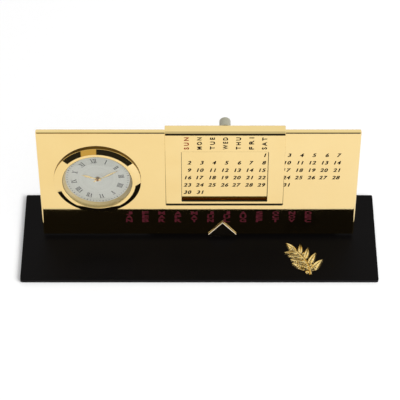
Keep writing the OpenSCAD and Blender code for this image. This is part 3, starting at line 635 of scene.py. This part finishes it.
def numeral(text):
    outlines, x = [], 0.0
    serif = np.array([[-1, -1], [1, -1], [1, 1], [-1, 1]]) * dialPrint["serif"]
    for letter in text:
        shape = numeralStrokes[letter]
        outlines += [strokeOutline(*s) + [x, 0] for s in shape["strokes"]]
        outlines += [serif + [x + sx, sy] for sx, sy in shape["serifs"]]
        x += shape["width"]
    flat, triangles = cutFlat(outlines)
    return (flat - [x / 2, 0.5]) * [dialPrint["squeeze"], 1] * dialPrint["height"], triangles


def makeDialPrint():
    low, high = insert["dial"] - 0.01, insert["dial"] + dialPrint["ink"]
    parts = []
    for hour, text in enumerate(dialPrint["numerals"]):
        flat, triangles = numeral(text)
        part = thicken(flat + [0, dialPrint["radius"]], triangles, atHeight(high), atHeight(low))
        parts.append(placed(part, lambda p, a=clock["turn"] - hour * math.pi / 6: onClock(turned(p, a))))
    for minute in range(60):
        wide, tall = dialPrint["bigTick" if minute % 5 == 0 else "tick"]
        flat = np.array([[-1, 0], [1, 0], [1, 1], [-1, 1]]) * [wide / 2, tall] + [0, dialPrint["tickRing"]]
        part = thicken(*cutFlat([flat]), atHeight(high), atHeight(low))
        parts.append(placed(part, lambda p, a=clock["turn"] - minute * math.pi / 30: onClock(turned(p, a))))
    addPiece("dialPrint", parts, inkGrey)


hands = dict(hour=dict(length=9.6, width=1.3, eye=1.44, tail=2.0, bore=0.64, z=-1.05, time=9.95 / 12),
             minute=dict(length=14.0, width=1.0, eye=0.95, tail=2.6, bore=0.3, z=-0.5, time=11.2 / 60),
             thick=0.2, ridge=0.08, cap=dict(radius=0.7, edge=0.43, round=0.35, high=0.49))


def handShape(hand):
    # leaf outline along +y with a round eye and a short tail, thicker along its middle line
    t = np.linspace(0, 1, 25)
    swell = hand["width"] / 2 * (0.42 + 0.58 * np.sin(np.pi * np.clip((t - 0.2) / 0.8, 0, 1)) ** 1.5)
    swell = np.where(t > 0.55, swell * np.clip((1 - t) / 0.3, 0.06, 1), swell)
    y = hand["eye"] * 0.7 + t * (hand["length"] - hand["eye"] * 0.7)
    blade = np.concatenate([np.stack([swell, y], -1), np.stack([-swell, y], -1)[::-1]])
    a = np.linspace(0, 2 * np.pi, 40, endpoint=False)
    eye = hand["eye"] * np.stack([np.cos(a), np.sin(a)], -1)
    w = hand["width"] * 0.36
    tail = np.array([[-w, 0], [w, 0], [w, -hand["tail"]], [-w, -hand["tail"]]])
    hole = hand["bore"] * np.stack([np.cos(a), np.sin(a)], -1)
    flat, triangles = cutFlat([blade, eye, tail], [hole], [[(0, hand["eye"]), (0, hand["length"] * 0.97)]])
    z = hand["z"]
    aside = lambda p: np.clip(np.abs(p[:, 0]) / (hand["width"] / 2), 0, 1)
    crown = lambda p: z + hands["thick"] - hands["ridge"] * aside(p)
    return thicken(flat, triangles, lambda p: np.column_stack([p, crown(p)]), atHeight(z))


def makeHands():
    for name, node in (("hour", "hour_hand"), ("minute", "minute_hand")):
        angle = clock["turn"] - 2 * math.pi * hands[name]["time"]
        part = placed(handShape(hands[name]), lambda p, a=angle: onClock(turned(p, a)))
        addPiece(name + "Hand", [part], handGold, body=name, replaced=[node], sharp=12)
    z, cap = hands["minute"]["z"] + hands["thick"], hands["cap"]
    profile = softPath([(0, z, 0), (cap["radius"], z, 0.05), (cap["radius"], z + cap["edge"], cap["round"]),
                        (0, z + cap["high"], 0)], steps=8)
    addPiece("handCap", [placed(revolve(profile, 48), onClock)], capCopper, body="minute",
             replaced=["hand_cap"])


makeInsert()
makeDialPrint()
makeHands()
print("clock insert made")

# calendar frame

window = dict(width=66.8, height=55, sheet=1.3, stand=2.3, bend=2.3, backBend=1.4, x=14.75, top=79.15,
              backLeg=17, openW=48.3, openH=37.2, sill=3.85, depth=7.3, corner=0.7, openCorner=0.5,
              knobDrop=3.9, hole=2.41, round=0.4, roll=1.9)


def frameBend(flat, depthIn):
    # flat pattern (x, s): s runs up the front leg, over the top and down the back leg,
    # measured on the outer face; depthIn is how far below that face
    first, second = window["bend"], window["backBend"]
    ends = frameEnds()
    x, s = flat[:, 0], flat[:, 1]
    front, back = -window["stand"], window["depth"] - window["stand"]
    top = window["top"]
    turn1, turn2 = (s - ends[0]) / first, (s - ends[2]) / second
    inner1, inner2 = first - depthIn, second - depthIn
    choices = [s <= ends[0], s <= ends[1], s <= ends[2], s <= ends[3]]
    # the front face rolls in at the foot of the leg, along an arc that stops short of the back face
    roll = window["roll"]
    rolled = np.minimum(roll - np.sqrt(roll ** 2 - np.clip(roll - s, 0, roll) ** 2), window["sheet"] - 0.15)
    rolled = rolled * (depthIn == 0)
    y = np.select(choices, [
        front + depthIn + rolled, front + first - inner1 * np.cos(turn1), front + first + s - ends[1],
        back - second + inner2 * np.sin(turn2)], back - depthIn)
    v = np.select(choices, [
        top - window["height"] + s, top - first + inner1 * np.sin(turn1), top - depthIn + 0 * s,
        top - second + inner2 * np.cos(turn2)], top - second - (s - ends[3]))
    return onPlate(np.stack([x + window["x"], y, v], -1))


def frameEnds():
    # where along the pattern the front leg, the first bend, the top and the second bend end
    first, second = window["bend"], window["backBend"]
    lengths = [window["height"] - first, math.pi / 2 * first, window["depth"] - first - second,
               math.pi / 2 * second]
    return np.cumsum(lengths)


def makeFrame():
    ends = frameEnds()
    length = ends[3] + window["backLeg"] - window["backBend"]
    outer = roundRect(window["width"], length, window["corner"], steps=3) + [0, length / 2]
    opening = roundRect(window["openW"], window["openH"], window["openCorner"], steps=3)
    opening = opening + [0, window["sill"] + window["openH"] / 2]
    a = np.linspace(0, 2 * np.pi, 40, endpoint=False)
    bore = window["hole"] * np.stack([np.cos(a), np.sin(a)], -1)
    bore = bore + [0, ends[3] + window["knobDrop"] - window["backBend"]]
    half = window["width"] / 2
    foot = window["roll"] * (1 - np.cos(np.radians(np.linspace(8, 90, 10))))
    levels = np.concatenate([foot, np.linspace(ends[0], ends[1], 17), np.linspace(ends[2], ends[3], 9)])
    lines = [[(-half, s), (half, s)] for s in levels]
    flat, triangles = cutFlat([outer], [opening, bore], lines)
    part = thicken(flat, triangles, lambda p: frameBend(p, 0.0), lambda p: frameBend(p, window["sheet"]))
    piece = addPiece("calendarFrame", [part], frameGold, body="frame", replaced=["calendar_frame"],
                     sharp=30, bevel=window["round"])
    darkenCuts(piece.data)


def darkenCuts(mesh):
    # the cut walls round the window and the rolled foot are painted near-black: painted shade in the
    # window's recess and a painted reflection of the black base along the foot; places are measured from
    # the middle of the window
    mesh.materials.append(cutEdgeShade)
    middle, normal = np.empty((2, len(mesh.polygons), 3), np.float32)
    mesh.polygons.foreach_get("center", middle.ravel())
    mesh.polygons.foreach_get("normal", normal.ravel())
    halfW, halfH = window["openW"] / 2, window["openH"] / 2
    centre = onPlate([window["x"], 0, window["top"] - window["height"] + window["sill"] + halfH])
    right, outwards, up = onPlate([[1, 0, 0], [0, -1, 0], [0, 0, 1]]) - onPlate([0, 0, 0])
    across, along = (middle / mm - centre) @ right, (middle / mm - centre) @ up
    isWall = (np.abs(across) < halfW + 0.05) & (np.abs(along) < halfH + 0.05)
    isWall &= np.abs(normal @ outwards) < 0.5
    isFoot = (normal @ up < -0.12) & (along < window["roll"] - window["sill"] - halfH)
    mesh.polygons.foreach_set("material_index", (isWall | isFoot).astype(np.int32))


makeFrame()
print("calendar frame made")

# month pointer

pointer = dict(x=13.85, width=16.2, height=10.4, sheet=0.8, clear=0.3, foot=0.9, leg=5, bend=0.4, soft=0.38)


def tabOutline(inset):
    # the triangle's slanted sides move in by inset, its foot stays as wide as the clip
    w, slope = pointer["width"] / 2, (pointer["height"] - pointer["foot"]) / (pointer["width"] / 2)
    drop = inset * math.hypot(1, slope)
    foot, tip = pointer["foot"] - drop, pointer["height"] - drop
    return softPath([(-w, -0.2, 0), (w, -0.2, 0), (w, foot, 0.08), (0, tip, 0.2), (-w, foot, 0.08)],
                    closed=True, steps=4)


def makePointer():
    # the bent clip under the plate's edge is a section carried along x; the tab's sides are rounded
    out, clear, r = pointer["clear"] + pointer["sheet"], pointer["clear"], pointer["bend"]
    w, soft = pointer["width"] / 2, pointer["soft"]
    a = np.linspace(0, np.pi / 2, 8)
    rings = [(0, clear)] + list(zip(soft * (1 - np.cos(a)), out - soft + soft * np.sin(a)))
    points, faces = slab(tabOutline, rings)
    tabPart = (onPlate(np.column_stack([points[:, 0] + pointer["x"], -points[:, 2], points[:, 1]])), faces)
    depth = plate["depth"]
    section = softPath([
        (-out, 0, 0), (-out, -out, r + pointer["sheet"]), (depth + out, -out, r + pointer["sheet"]),
        (depth + out, pointer["leg"], 0.2), (depth + clear, pointer["leg"], 0.2),
        (depth + clear, -clear, r), (-clear, -clear, r), (-clear, 0, 0)], closed=True, steps=8)
    flat, triangles = cutFlat([section])
    side = lambda x: lambda p: onPlate(np.column_stack([np.full(len(p), pointer["x"] + x), p]))
    clipPart = thicken(flat, triangles, side(w), side(-w))
    addPiece("monthPointer", [tabPart, clipPart], paleHighlightGold, body="pointer", replaced=["month_pointer"],
             bevel=0.06)


makePointer()
print("pointer made")

# print

fontMade = {}


def lettering(text, shear=0.0, bold=0.0, spacing=1.0):
    # the built-in face as a flat shape, cap height 1, from its left edge and its base line
    key = (text, shear, bold, spacing)
    if key in fontMade:
        return fontMade[key]
    curve = bpy.data.curves.new("lettering", "FONT")
    curve.body, curve.shear, curve.offset, curve.space_character = text, shear, bold, spacing
    curve.resolution_u = 5
    maker = newObject("lettering", curve)
    bpy.context.view_layer.update()
    mesh = bpy.data.meshes.new_from_object(maker.evaluated_get(bpy.context.evaluated_depsgraph_get()))
    bpy.data.objects.remove(maker)
    bpy.data.curves.remove(curve)
    shape = bmesh.new()
    shape.from_mesh(mesh)
    bmesh.ops.remove_doubles(shape, verts=shape.verts, dist=1e-5)
    bmesh.ops.triangulate(shape, faces=shape.faces)
    shape.verts.index_update()
    flat = np.array([v.co[:2] for v in shape.verts])
    triangles = np.array([[v.index for v in f.verts] for f in shape.faces])
    shape.free()
    bpy.data.meshes.remove(mesh)
    a, b, c = (flat[triangles[:, k]] for k in range(3))
    area = (b[:, 0] - a[:, 0]) * (c[:, 1] - a[:, 1]) - (b[:, 1] - a[:, 1]) * (c[:, 0] - a[:, 0])
    triangles = np.where(area[:, None] < 0, triangles[:, ::-1], triangles)[np.abs(area) > 1e-9]
    capHeight = 0.729
    fontMade[key] = (flat / capHeight, triangles)
    return fontMade[key]


def printed(name, marks, y, finish, body, spread=(0, 0)):
    # marks are (flat, triangles) in plate axes (x, v); the ink stands a hair above its face.
    # Each is laid twice, spread apart to both sides, which makes its strokes heavier.
    thick, sunk = 0.02, 0.01
    face = lambda depth: lambda p: onPlate(np.column_stack([p[:, 0], np.full(len(p), depth), p[:, 1]]))
    parts = []
    for flat, triangles in marks:
        for side in (-1, 1):
            moved = flat + np.array(spread) * side
            parts.append(thicken(moved, triangles, face(y - thick - 0.002 * side), face(y + sunk)))
    return addPiece(name, parts, finish, body=body)


dates = dict(x=-6.48, v=61.05, columns=6.975, rows=5.56, height=2.6, right=1.9, stretch=1.04, shear=0.24,
             bold=0.02, spacing=1.2, spread=(0.11, 0.02))
weekdays = dict(names=["SUN", "MON", "TUE", "WED", "THU", "FRI", "SAT"], x=-7.156, pitch=7.193,
                low=67.2, high=75.9, cap=2.6, bold=0.01, spacing=1.55, spread=(0.15, 0.06))
months = dict(names=["JAN", "FEB", "MAR", "APR", "MAY", "JUN", "JUL", "AUG", "SEP", "OCT", "NOV", "DEC"],
              x=-40.39, pitch=9.36, top=17.0, step=2.95, height=2.5, width=3.6, bold=0.02,
              spread=(0.14, 0.06))


def makeDates():
    # the numbers run along diagonals, so that one window width shows a whole month from any weekday
    rows = [range(1, 8), range(2, 15), range(9, 22), range(16, 29), range(23, 32), range(30, 32)]
    firstColumn = [6, 0, 0, 0, 0, 0]
    marks = []
    for r, numbers in enumerate(rows):
        for k, number in enumerate(numbers):
            flat, triangles = lettering(str(number), dates["shear"], dates["bold"], dates["spacing"])
            flat = flat * dates["height"] * [dates["stretch"], 1]
            x = dates["x"] + dates["columns"] * (firstColumn[r] + k) + dates["right"] - plate["x"]
            v = dates["v"] - dates["rows"] * r
            marks.append((flat + [x - flat[:, 0].max(), v - dates["height"] / 2], triangles))
    printed("printedDates", marks, 0.0, inkBlack, "stand", dates["spread"])


def makeWeekdays():
    for name, chosen, finish in (("printedSunday", [0], inkRed), ("printedWeekdays", range(1, 7), inkBlack)):
        marks = []
        for i in chosen:
            flat, triangles = lettering(weekdays["names"][i], 0.0, weekdays["bold"], weekdays["spacing"])
            flat = flat - flat.min(0)
            flat = flat * [(weekdays["high"] - weekdays["low"]) / flat[:, 0].max(), weekdays["cap"]]
            x = weekdays["x"] + weekdays["pitch"] * i - plate["x"] + weekdays["cap"] / 2
            marks.append((np.stack([x - flat[:, 1], weekdays["low"] + flat[:, 0]], -1), triangles))
        printed(name, marks, -window["stand"], finish, "frame", weekdays["spread"])


def makeMonths():
    marks = []
    for i, name in enumerate(months["names"]):
        for k, letter in enumerate(name):
            flat, triangles = lettering(letter, 0.0, months["bold"])
            low, high = flat.min(0), flat.max(0)
            width = months["width"] * (0.35 if letter == "I" else 1)
            flat = (flat - (low + high) / 2) / (high - low) * [width, months["height"]]
            x = months["x"] + months["pitch"] * i - plate["x"]
            marks.append((flat + [x, months["top"] - months["step"] * k], triangles))
    printed("printedMonths", marks, 0.0, inkDarkRed, "stand", months["spread"])


makeDates()
makeWeekdays()
makeMonths()
print("print made")

# clamp knob

knob = dict(x=14.75, v=75.25, start=5.8, length=6.7, radius=3.15, ribs=36, ribDepth=0.12, ribStart=0.9,
            ribEnd=1.0, ribFade=0.3, screw=1.5, screwTip=1.3, screwLow=3.85, threadDepth=0.12,
            threadStep=0.25)


def onClamp(points):
    # z to the back from the plate's face, about the clamp's axis
    x, y, z = np.moveaxis(np.asarray(points, float), -1, 0)
    return onPlate(np.stack([knob["x"] + x, z, knob["v"] + y], -1))


def makeKnob():
    z0, length, r = knob["start"], knob["length"], knob["radius"]
    profile = softPath([(0, z0, 0), (r, z0, 0.4), (r, z0 + length, 0.5), (0, z0 + length, 0)], steps=6)
    points, faces = revolve(profile, 288)
    radius = np.hypot(points[:, 0], points[:, 1])
    angle = np.arctan2(points[:, 1], points[:, 0])
    fromStart = (points[:, 2] - z0 - knob["ribStart"]) / knob["ribFade"]
    fromEnd = (z0 + length - knob["ribEnd"] - points[:, 2]) / knob["ribFade"]
    grip = np.clip(fromStart, 0, 1) * np.clip(fromEnd, 0, 1) * (radius > r - 0.05)
    scale = 1 - grip * knob["ribDepth"] * (0.5 + 0.5 * np.cos(knob["ribs"] * angle)) / r
    points = points * np.column_stack([scale, scale, np.ones(len(points))])
    low, step, outer = knob["screwLow"], knob["threadStep"], knob["screw"]
    thread = [(outer - knob["threadDepth"] * (k % 2), low + 0.1 + k * step)
              for k in range(int((z0 - low) / step))]
    screw = revolve([(0, low), (knob["screwTip"], low)] + thread + [(outer, z0 + 0.5), (0, z0 + 0.5)], 48)
    addPiece("clampKnob", [placed((points, faces), onClamp), placed(screw, onClamp)], knobAluminium,
             body="clamp", replaced=["clamp_knob"], sharp=35)


makeKnob()
print("knob made")

# leaf sprig

sprig = dict(x=63.6, y=-27.6, length=19.5, curve=24, turn=math.radians(2), stem=0.85, leafL=10.8, leafW=5.0,
             leafH=2.5, spread=56, berry=1.25, pairs=4, low=3.3)


def onSprig(t):
    # a share t of the way up the stem's arc: local x runs along the stem there
    def place(points):
        p = turned(points, math.pi / 2) + [sprig["curve"], 0, 0]
        p = turned(p, t * sprig["length"] / sprig["curve"]) - [sprig["curve"], 0, 0]
        return turned(p, sprig["turn"]) + [sprig["x"], sprig["y"], sprig["low"]]
    return place


def leaf(size):
    # outline swells and tapers along u; across w the top rises to two cheeks beside a sunken
    # midrib, with veins that run out and forward; the underside is flat
    u, w = np.meshgrid(np.linspace(0.03, 0.98, 48), np.linspace(-1, 1, 33), indexing="ij")
    swell = np.sin(np.pi * u)
    half = sprig["leafW"] / 2 * np.sin(np.pi * u ** 0.8) ** 0.8
    top = sprig["leafH"] * (0.25 + 0.75 * swell) * (1 - np.abs(w) ** 2.5)
    top = top - 0.35 * sprig["leafH"] * swell * np.exp(-30 * w * w)
    veins = np.cos(2 * np.pi * (9 * u - 1.6 * np.abs(w))) * swell * (1 - np.abs(w) ** 4) * (np.abs(w) > 0.12)
    top = np.maximum(top + 0.07 * veins, 0.06 * sprig["leafH"])
    notch = 1 + 0.03 * np.cos(2 * np.pi * 9 * u)
    upper = np.stack([sprig["leafL"] * u, half * w * notch, top], -1)
    under = upper[:, ::-1] * [1, 1, 0]
    shell = np.concatenate([upper, under], 1)
    return shell.reshape(-1, 3) * size, tubeFaces(*shell.shape[:2])


def stem():
    # round section along the arc, a little thinner to the tip, cut flat at the ground
    t, a = np.meshgrid(np.linspace(0, 1, 90), np.linspace(0, 2 * np.pi, 24, endpoint=False), indexing="ij")
    r = sprig["stem"] * (1.05 - 0.3 * t) * (1 + 0.05 * np.sin(70 * t + 2 * np.sin(a * 2)))
    x, z = sprig["curve"] + r * np.cos(a), np.maximum(0, 0.6 * sprig["stem"] + r * np.sin(a))
    turn = t * sprig["length"] / sprig["curve"]
    points = np.stack([x * np.cos(turn), x * np.sin(turn), z], -1).reshape(-1, 3) - [sprig["curve"], 0, 0]
    return turned(points, sprig["turn"]) + [sprig["x"], sprig["y"], sprig["low"]], tubeFaces(*t.shape)


def berry(radius):
    a = np.linspace(-np.pi / 2, np.pi / 2, 25)
    profile = np.stack([radius * np.cos(a), 0.6 * radius + radius * np.sin(a)], -1)
    profile[:, 1] = np.maximum(profile[:, 1], 0)
    profile[-3:, 1] -= 0.06
    profile[0, 0] = profile[-1, 0] = 0
    keep = np.append(True, np.hypot(*np.diff(profile, axis=0).T) > 1e-4)
    return revolve(profile[keep], 32)


def makeSprig():
    parts = [stem()]
    for k in range(sprig["pairs"]):
        for side in (-1, 1):
            angle = math.radians(side * (sprig["spread"] - 4 * k))
            points, faces = leaf(1 - 0.08 * k)
            parts.append((onSprig(0.2 + 0.215 * k + 0.03 * side)(turned(points, angle)), faces))
        beadSide = (1 if k % 2 == 0 else -1) * (sprig["stem"] + 0.7 * sprig["berry"])
        points, faces = berry(sprig["berry"])
        parts.append((onSprig(0.1 + 0.215 * k)(points + [0, beadSide, 0]), faces))
    parts.append(placed(leaf(0.85), onSprig(0.93)))
    piece = addPiece("leafSprig", parts, castGold, replaced=["leaf_sprig"], sharp=60)
    piece.visible_glossy = False


makeSprig()
print("sprig made")

# finishes of the CAD nodes that stay

nodeFinishes = {
    "stand_bracket": satinBlack, "bracket_screws": zincSteel, "bracket_nuts": zincSteel,
    "backing_board": fibreBoard, "plate_nuts": zincSteel, "case_gasket": blackRubber,
    "clock_case": blackPlastic, "movement_ring": whitePlastic, "movement": blackPlastic,
    "hour_wheel": wheelBrass, "motion_wheel": wheelBrass, "minute_arbor": zincSteel,
    "setting_knob": blackPlastic, "button_cell": cellSteel, "cell_contacts": wheelBrass,
    "battery_cap": blackPlastic, "glide_pads": feltBlack, "clamp_bush": zincSteel, "clamp_tip": whitePlastic,
}
for nodeName, finish in nodeFinishes.items():
    slots = frame["nodes"][nodeName].data.materials
    slots.clear()
    slots.append(finish)

# floor, light and camera

studio = dict(floorFront=(-0.598, -0.057), floorBack=1.6, floorSide=1.6, floorColour=0.8, floorGlow=0.16,
              shineLeft=(0.12, 0.08, 0.06), shineRight=(0.11, 0.10, 0.20),
              key=dict(place=(1.5, -1.375, 1.875), size=1.5, power=75.0), worldLight=0.53)


def seeingRays(tree):
    # 1 for rays from the camera; 1 for rays by which metal and glass see the room, 0 once such a
    # ray has left a matt surface
    path = tree.nodes.new("ShaderNodeLightPath").outputs
    shine = maths(tree, "MAXIMUM", path["Is Glossy Ray"], path["Is Transmission Ray"])
    unspread = maths(tree, "LESS_THAN", path["Diffuse Depth"], 0.5)
    return path["Is Camera Ray"], maths(tree, "MULTIPLY", shine, unspread)


def makeFloor():
    side, front, back = (studio[k] for k in ("floorSide", "floorFront", "floorBack"))
    corners = [(-side, front[0], 0), (side, front[1], 0), (side, back, 0), (-side, back, 0)]
    mesh = bpy.data.meshes.new("floor")
    mesh.from_pydata(corners, [], [(0, 1, 2, 3)])
    floor = newObject("floor", mesh)
    finish, tree, shader = newFinish("floorPaper", Roughness=0.9, Specular_IOR_Level=0.0)
    colour = studio["floorColour"]
    pattern = useGroup(tree, grainGroup, Scale=300.0, Detail=2.0, Bump=0.02, Height=0.0001)
    paper = mixed(tree, pattern["Value"], (colour - 0.01,) * 3, (colour + 0.01,) * 3)
    feed(tree, paper, shader.inputs["Base Color"])
    # camera, metal and glass see the floor lighter, so that it reads as white in them
    cameraRay, shineRay = seeingRays(tree)
    across = addNode(tree, "SeparateXYZ", Vector=objectPlace(tree)).outputs["X"]
    shine = mixed(tree, mapRange(tree, across, -0.1, 0.12, 0, 1), studio["shineLeft"], studio["shineRight"])
    glow = mixed(tree, cameraRay, mixed(tree, shineRay, (0, 0, 0), shine), (studio["floorGlow"],) * 3)
    feed(tree, glow, shader.inputs["Emission Color"])
    feed(tree, 1.0, shader.inputs["Emission Strength"])
    mesh.materials.append(finish)


room = dict(
    # angle from the front horizon over the top to the back one, and the grey that the metal shows
    stops=[(-90, 0.02), (44, 0.02), (48, 0.65), (106, 0.65), (112, 1.0), (215, 0.9)],
    # the sides are light beyond these shares of a direction's x
    left=(-0.74, -0.68), right=(0.56, 0.60), sideLevel=0.95,
    # a warm lamp low in front: azimuth and elevation in degrees
    warm=(0.61, 0.45, 0.18), warmAcross=(-20.3, -3.6), warmUp=(4, 24))


def between(tree, value, low, high, soft):
    # 1 from low to high, falling to 0 over soft on both sides
    rise = mapRange(tree, value, low - soft, low, 0, 1)
    return maths(tree, "MULTIPLY", rise, mapRange(tree, value, high, high + soft, 1, 0))


def makeWorld():
    # what the polished metal shows: a dark room in front beyond the floor, grey overhead,
    # light behind and on both sides; matt surfaces get the same soft white from every side
    world = bpy.data.worlds.new("studio")
    world.use_nodes = True
    bpy.context.scene.world = world
    tree = world.node_tree
    tree.nodes.clear()
    direction = addNode(tree, "SeparateXYZ", Vector=tree.nodes.new("ShaderNodeTexCoord").outputs["Generated"])
    across, up = direction.outputs["X"], direction.outputs["Z"]
    towards = maths(tree, "MULTIPLY", direction.outputs["Y"], -1.0)
    angle = maths(tree, "WRAP", maths(tree, "ARCTAN2", up, towards), 1.5 * math.pi, -0.5 * math.pi)
    ramp = addNode(tree, "ValToRGB", Fac=mapRange(tree, angle, -math.pi / 2, 1.5 * math.pi, 0, 1))
    while len(ramp.color_ramp.elements) < len(room["stops"]):
        ramp.color_ramp.elements.new(0.5)
    for element, (degrees, level) in zip(ramp.color_ramp.elements, room["stops"]):
        element.position = (degrees + 90) / 360
        element.color = (level, level, level, 1)
    beside = maths(tree, "MAXIMUM", mapRange(tree, across, *room["left"], 1, 0),
                   mapRange(tree, across, *room["right"], 0, 1))
    shown = mixed(tree, beside, ramp.outputs[0], (room["sideLevel"],) * 3)
    inLamp = []
    for value, limits in ((maths(tree, "ARCTAN2", across, towards), room["warmAcross"]),
                          (maths(tree, "ARCSINE", up), room["warmUp"])):
        inLamp.append(between(tree, value, *np.radians(limits).tolist(), math.radians(1)))
    shown = mixed(tree, maths(tree, "MULTIPLY", *inLamp), shown, room["warm"])
    mirrored = addNode(tree, "Background", Color=shown, Strength=1.0)
    # a little more of the soft light comes from the right
    sideways = mapRange(tree, across, -1, 1, 0.9, 1.1)
    strength = maths(tree, "MULTIPLY", sideways, studio["worldLight"])
    soft = addNode(tree, "Background", Color=(1, 1, 1), Strength=strength)
    white = addNode(tree, "Background", Color=(1, 1, 1), Strength=1.0)
    cameraRay, shineRay = seeingRays(tree)
    lit = mixedShaders(tree, shineRay, soft.outputs[0], mirrored.outputs[0])
    surface = mixedShaders(tree, cameraRay, lit, white.outputs[0])
    addNode(tree, "OutputWorld", Surface=surface)


def makeLamp():
    key = studio["key"]
    light = bpy.data.lights.new("key", "AREA")
    light.energy, light.shape, light.size = key["power"], "SQUARE", key["size"]
    lamp = newObject("key", light)
    lamp.location = key["place"]
    lamp.rotation_euler = (-Vector(key["place"])).to_track_quat("-Z", "Y").to_euler()
    lamp.visible_glossy = False
    lamp.visible_transmission = False
    # only the base shades the floor from it, as in the cut-out photo
    blockers = bpy.data.collections.new("keyBlockers")
    for name in ("baseSlab", "feltPad"):
        blockers.objects.link(bpy.data.objects[name])
    lamp.light_linking.blocker_collection = blockers


camera = dict(place=(0.0003724, -0.58452, 0.8012176), pitch=math.radians(90 - 52.5385), lens=152.873)


def makeCamera():
    data = bpy.data.cameras.new("camera")
    data.lens, data.sensor_width, data.clip_start, data.clip_end = camera["lens"], 36, 0.01, 20
    eye = newObject("camera", data)
    eye.location, eye.rotation_euler = camera["place"], (camera["pitch"], 0, 0)
    bpy.context.scene.camera = eye


makeFloor()
makeWorld()
makeLamp()
makeCamera()
bpy.context.scene.view_settings.view_transform = "Standard"
print("studio made")
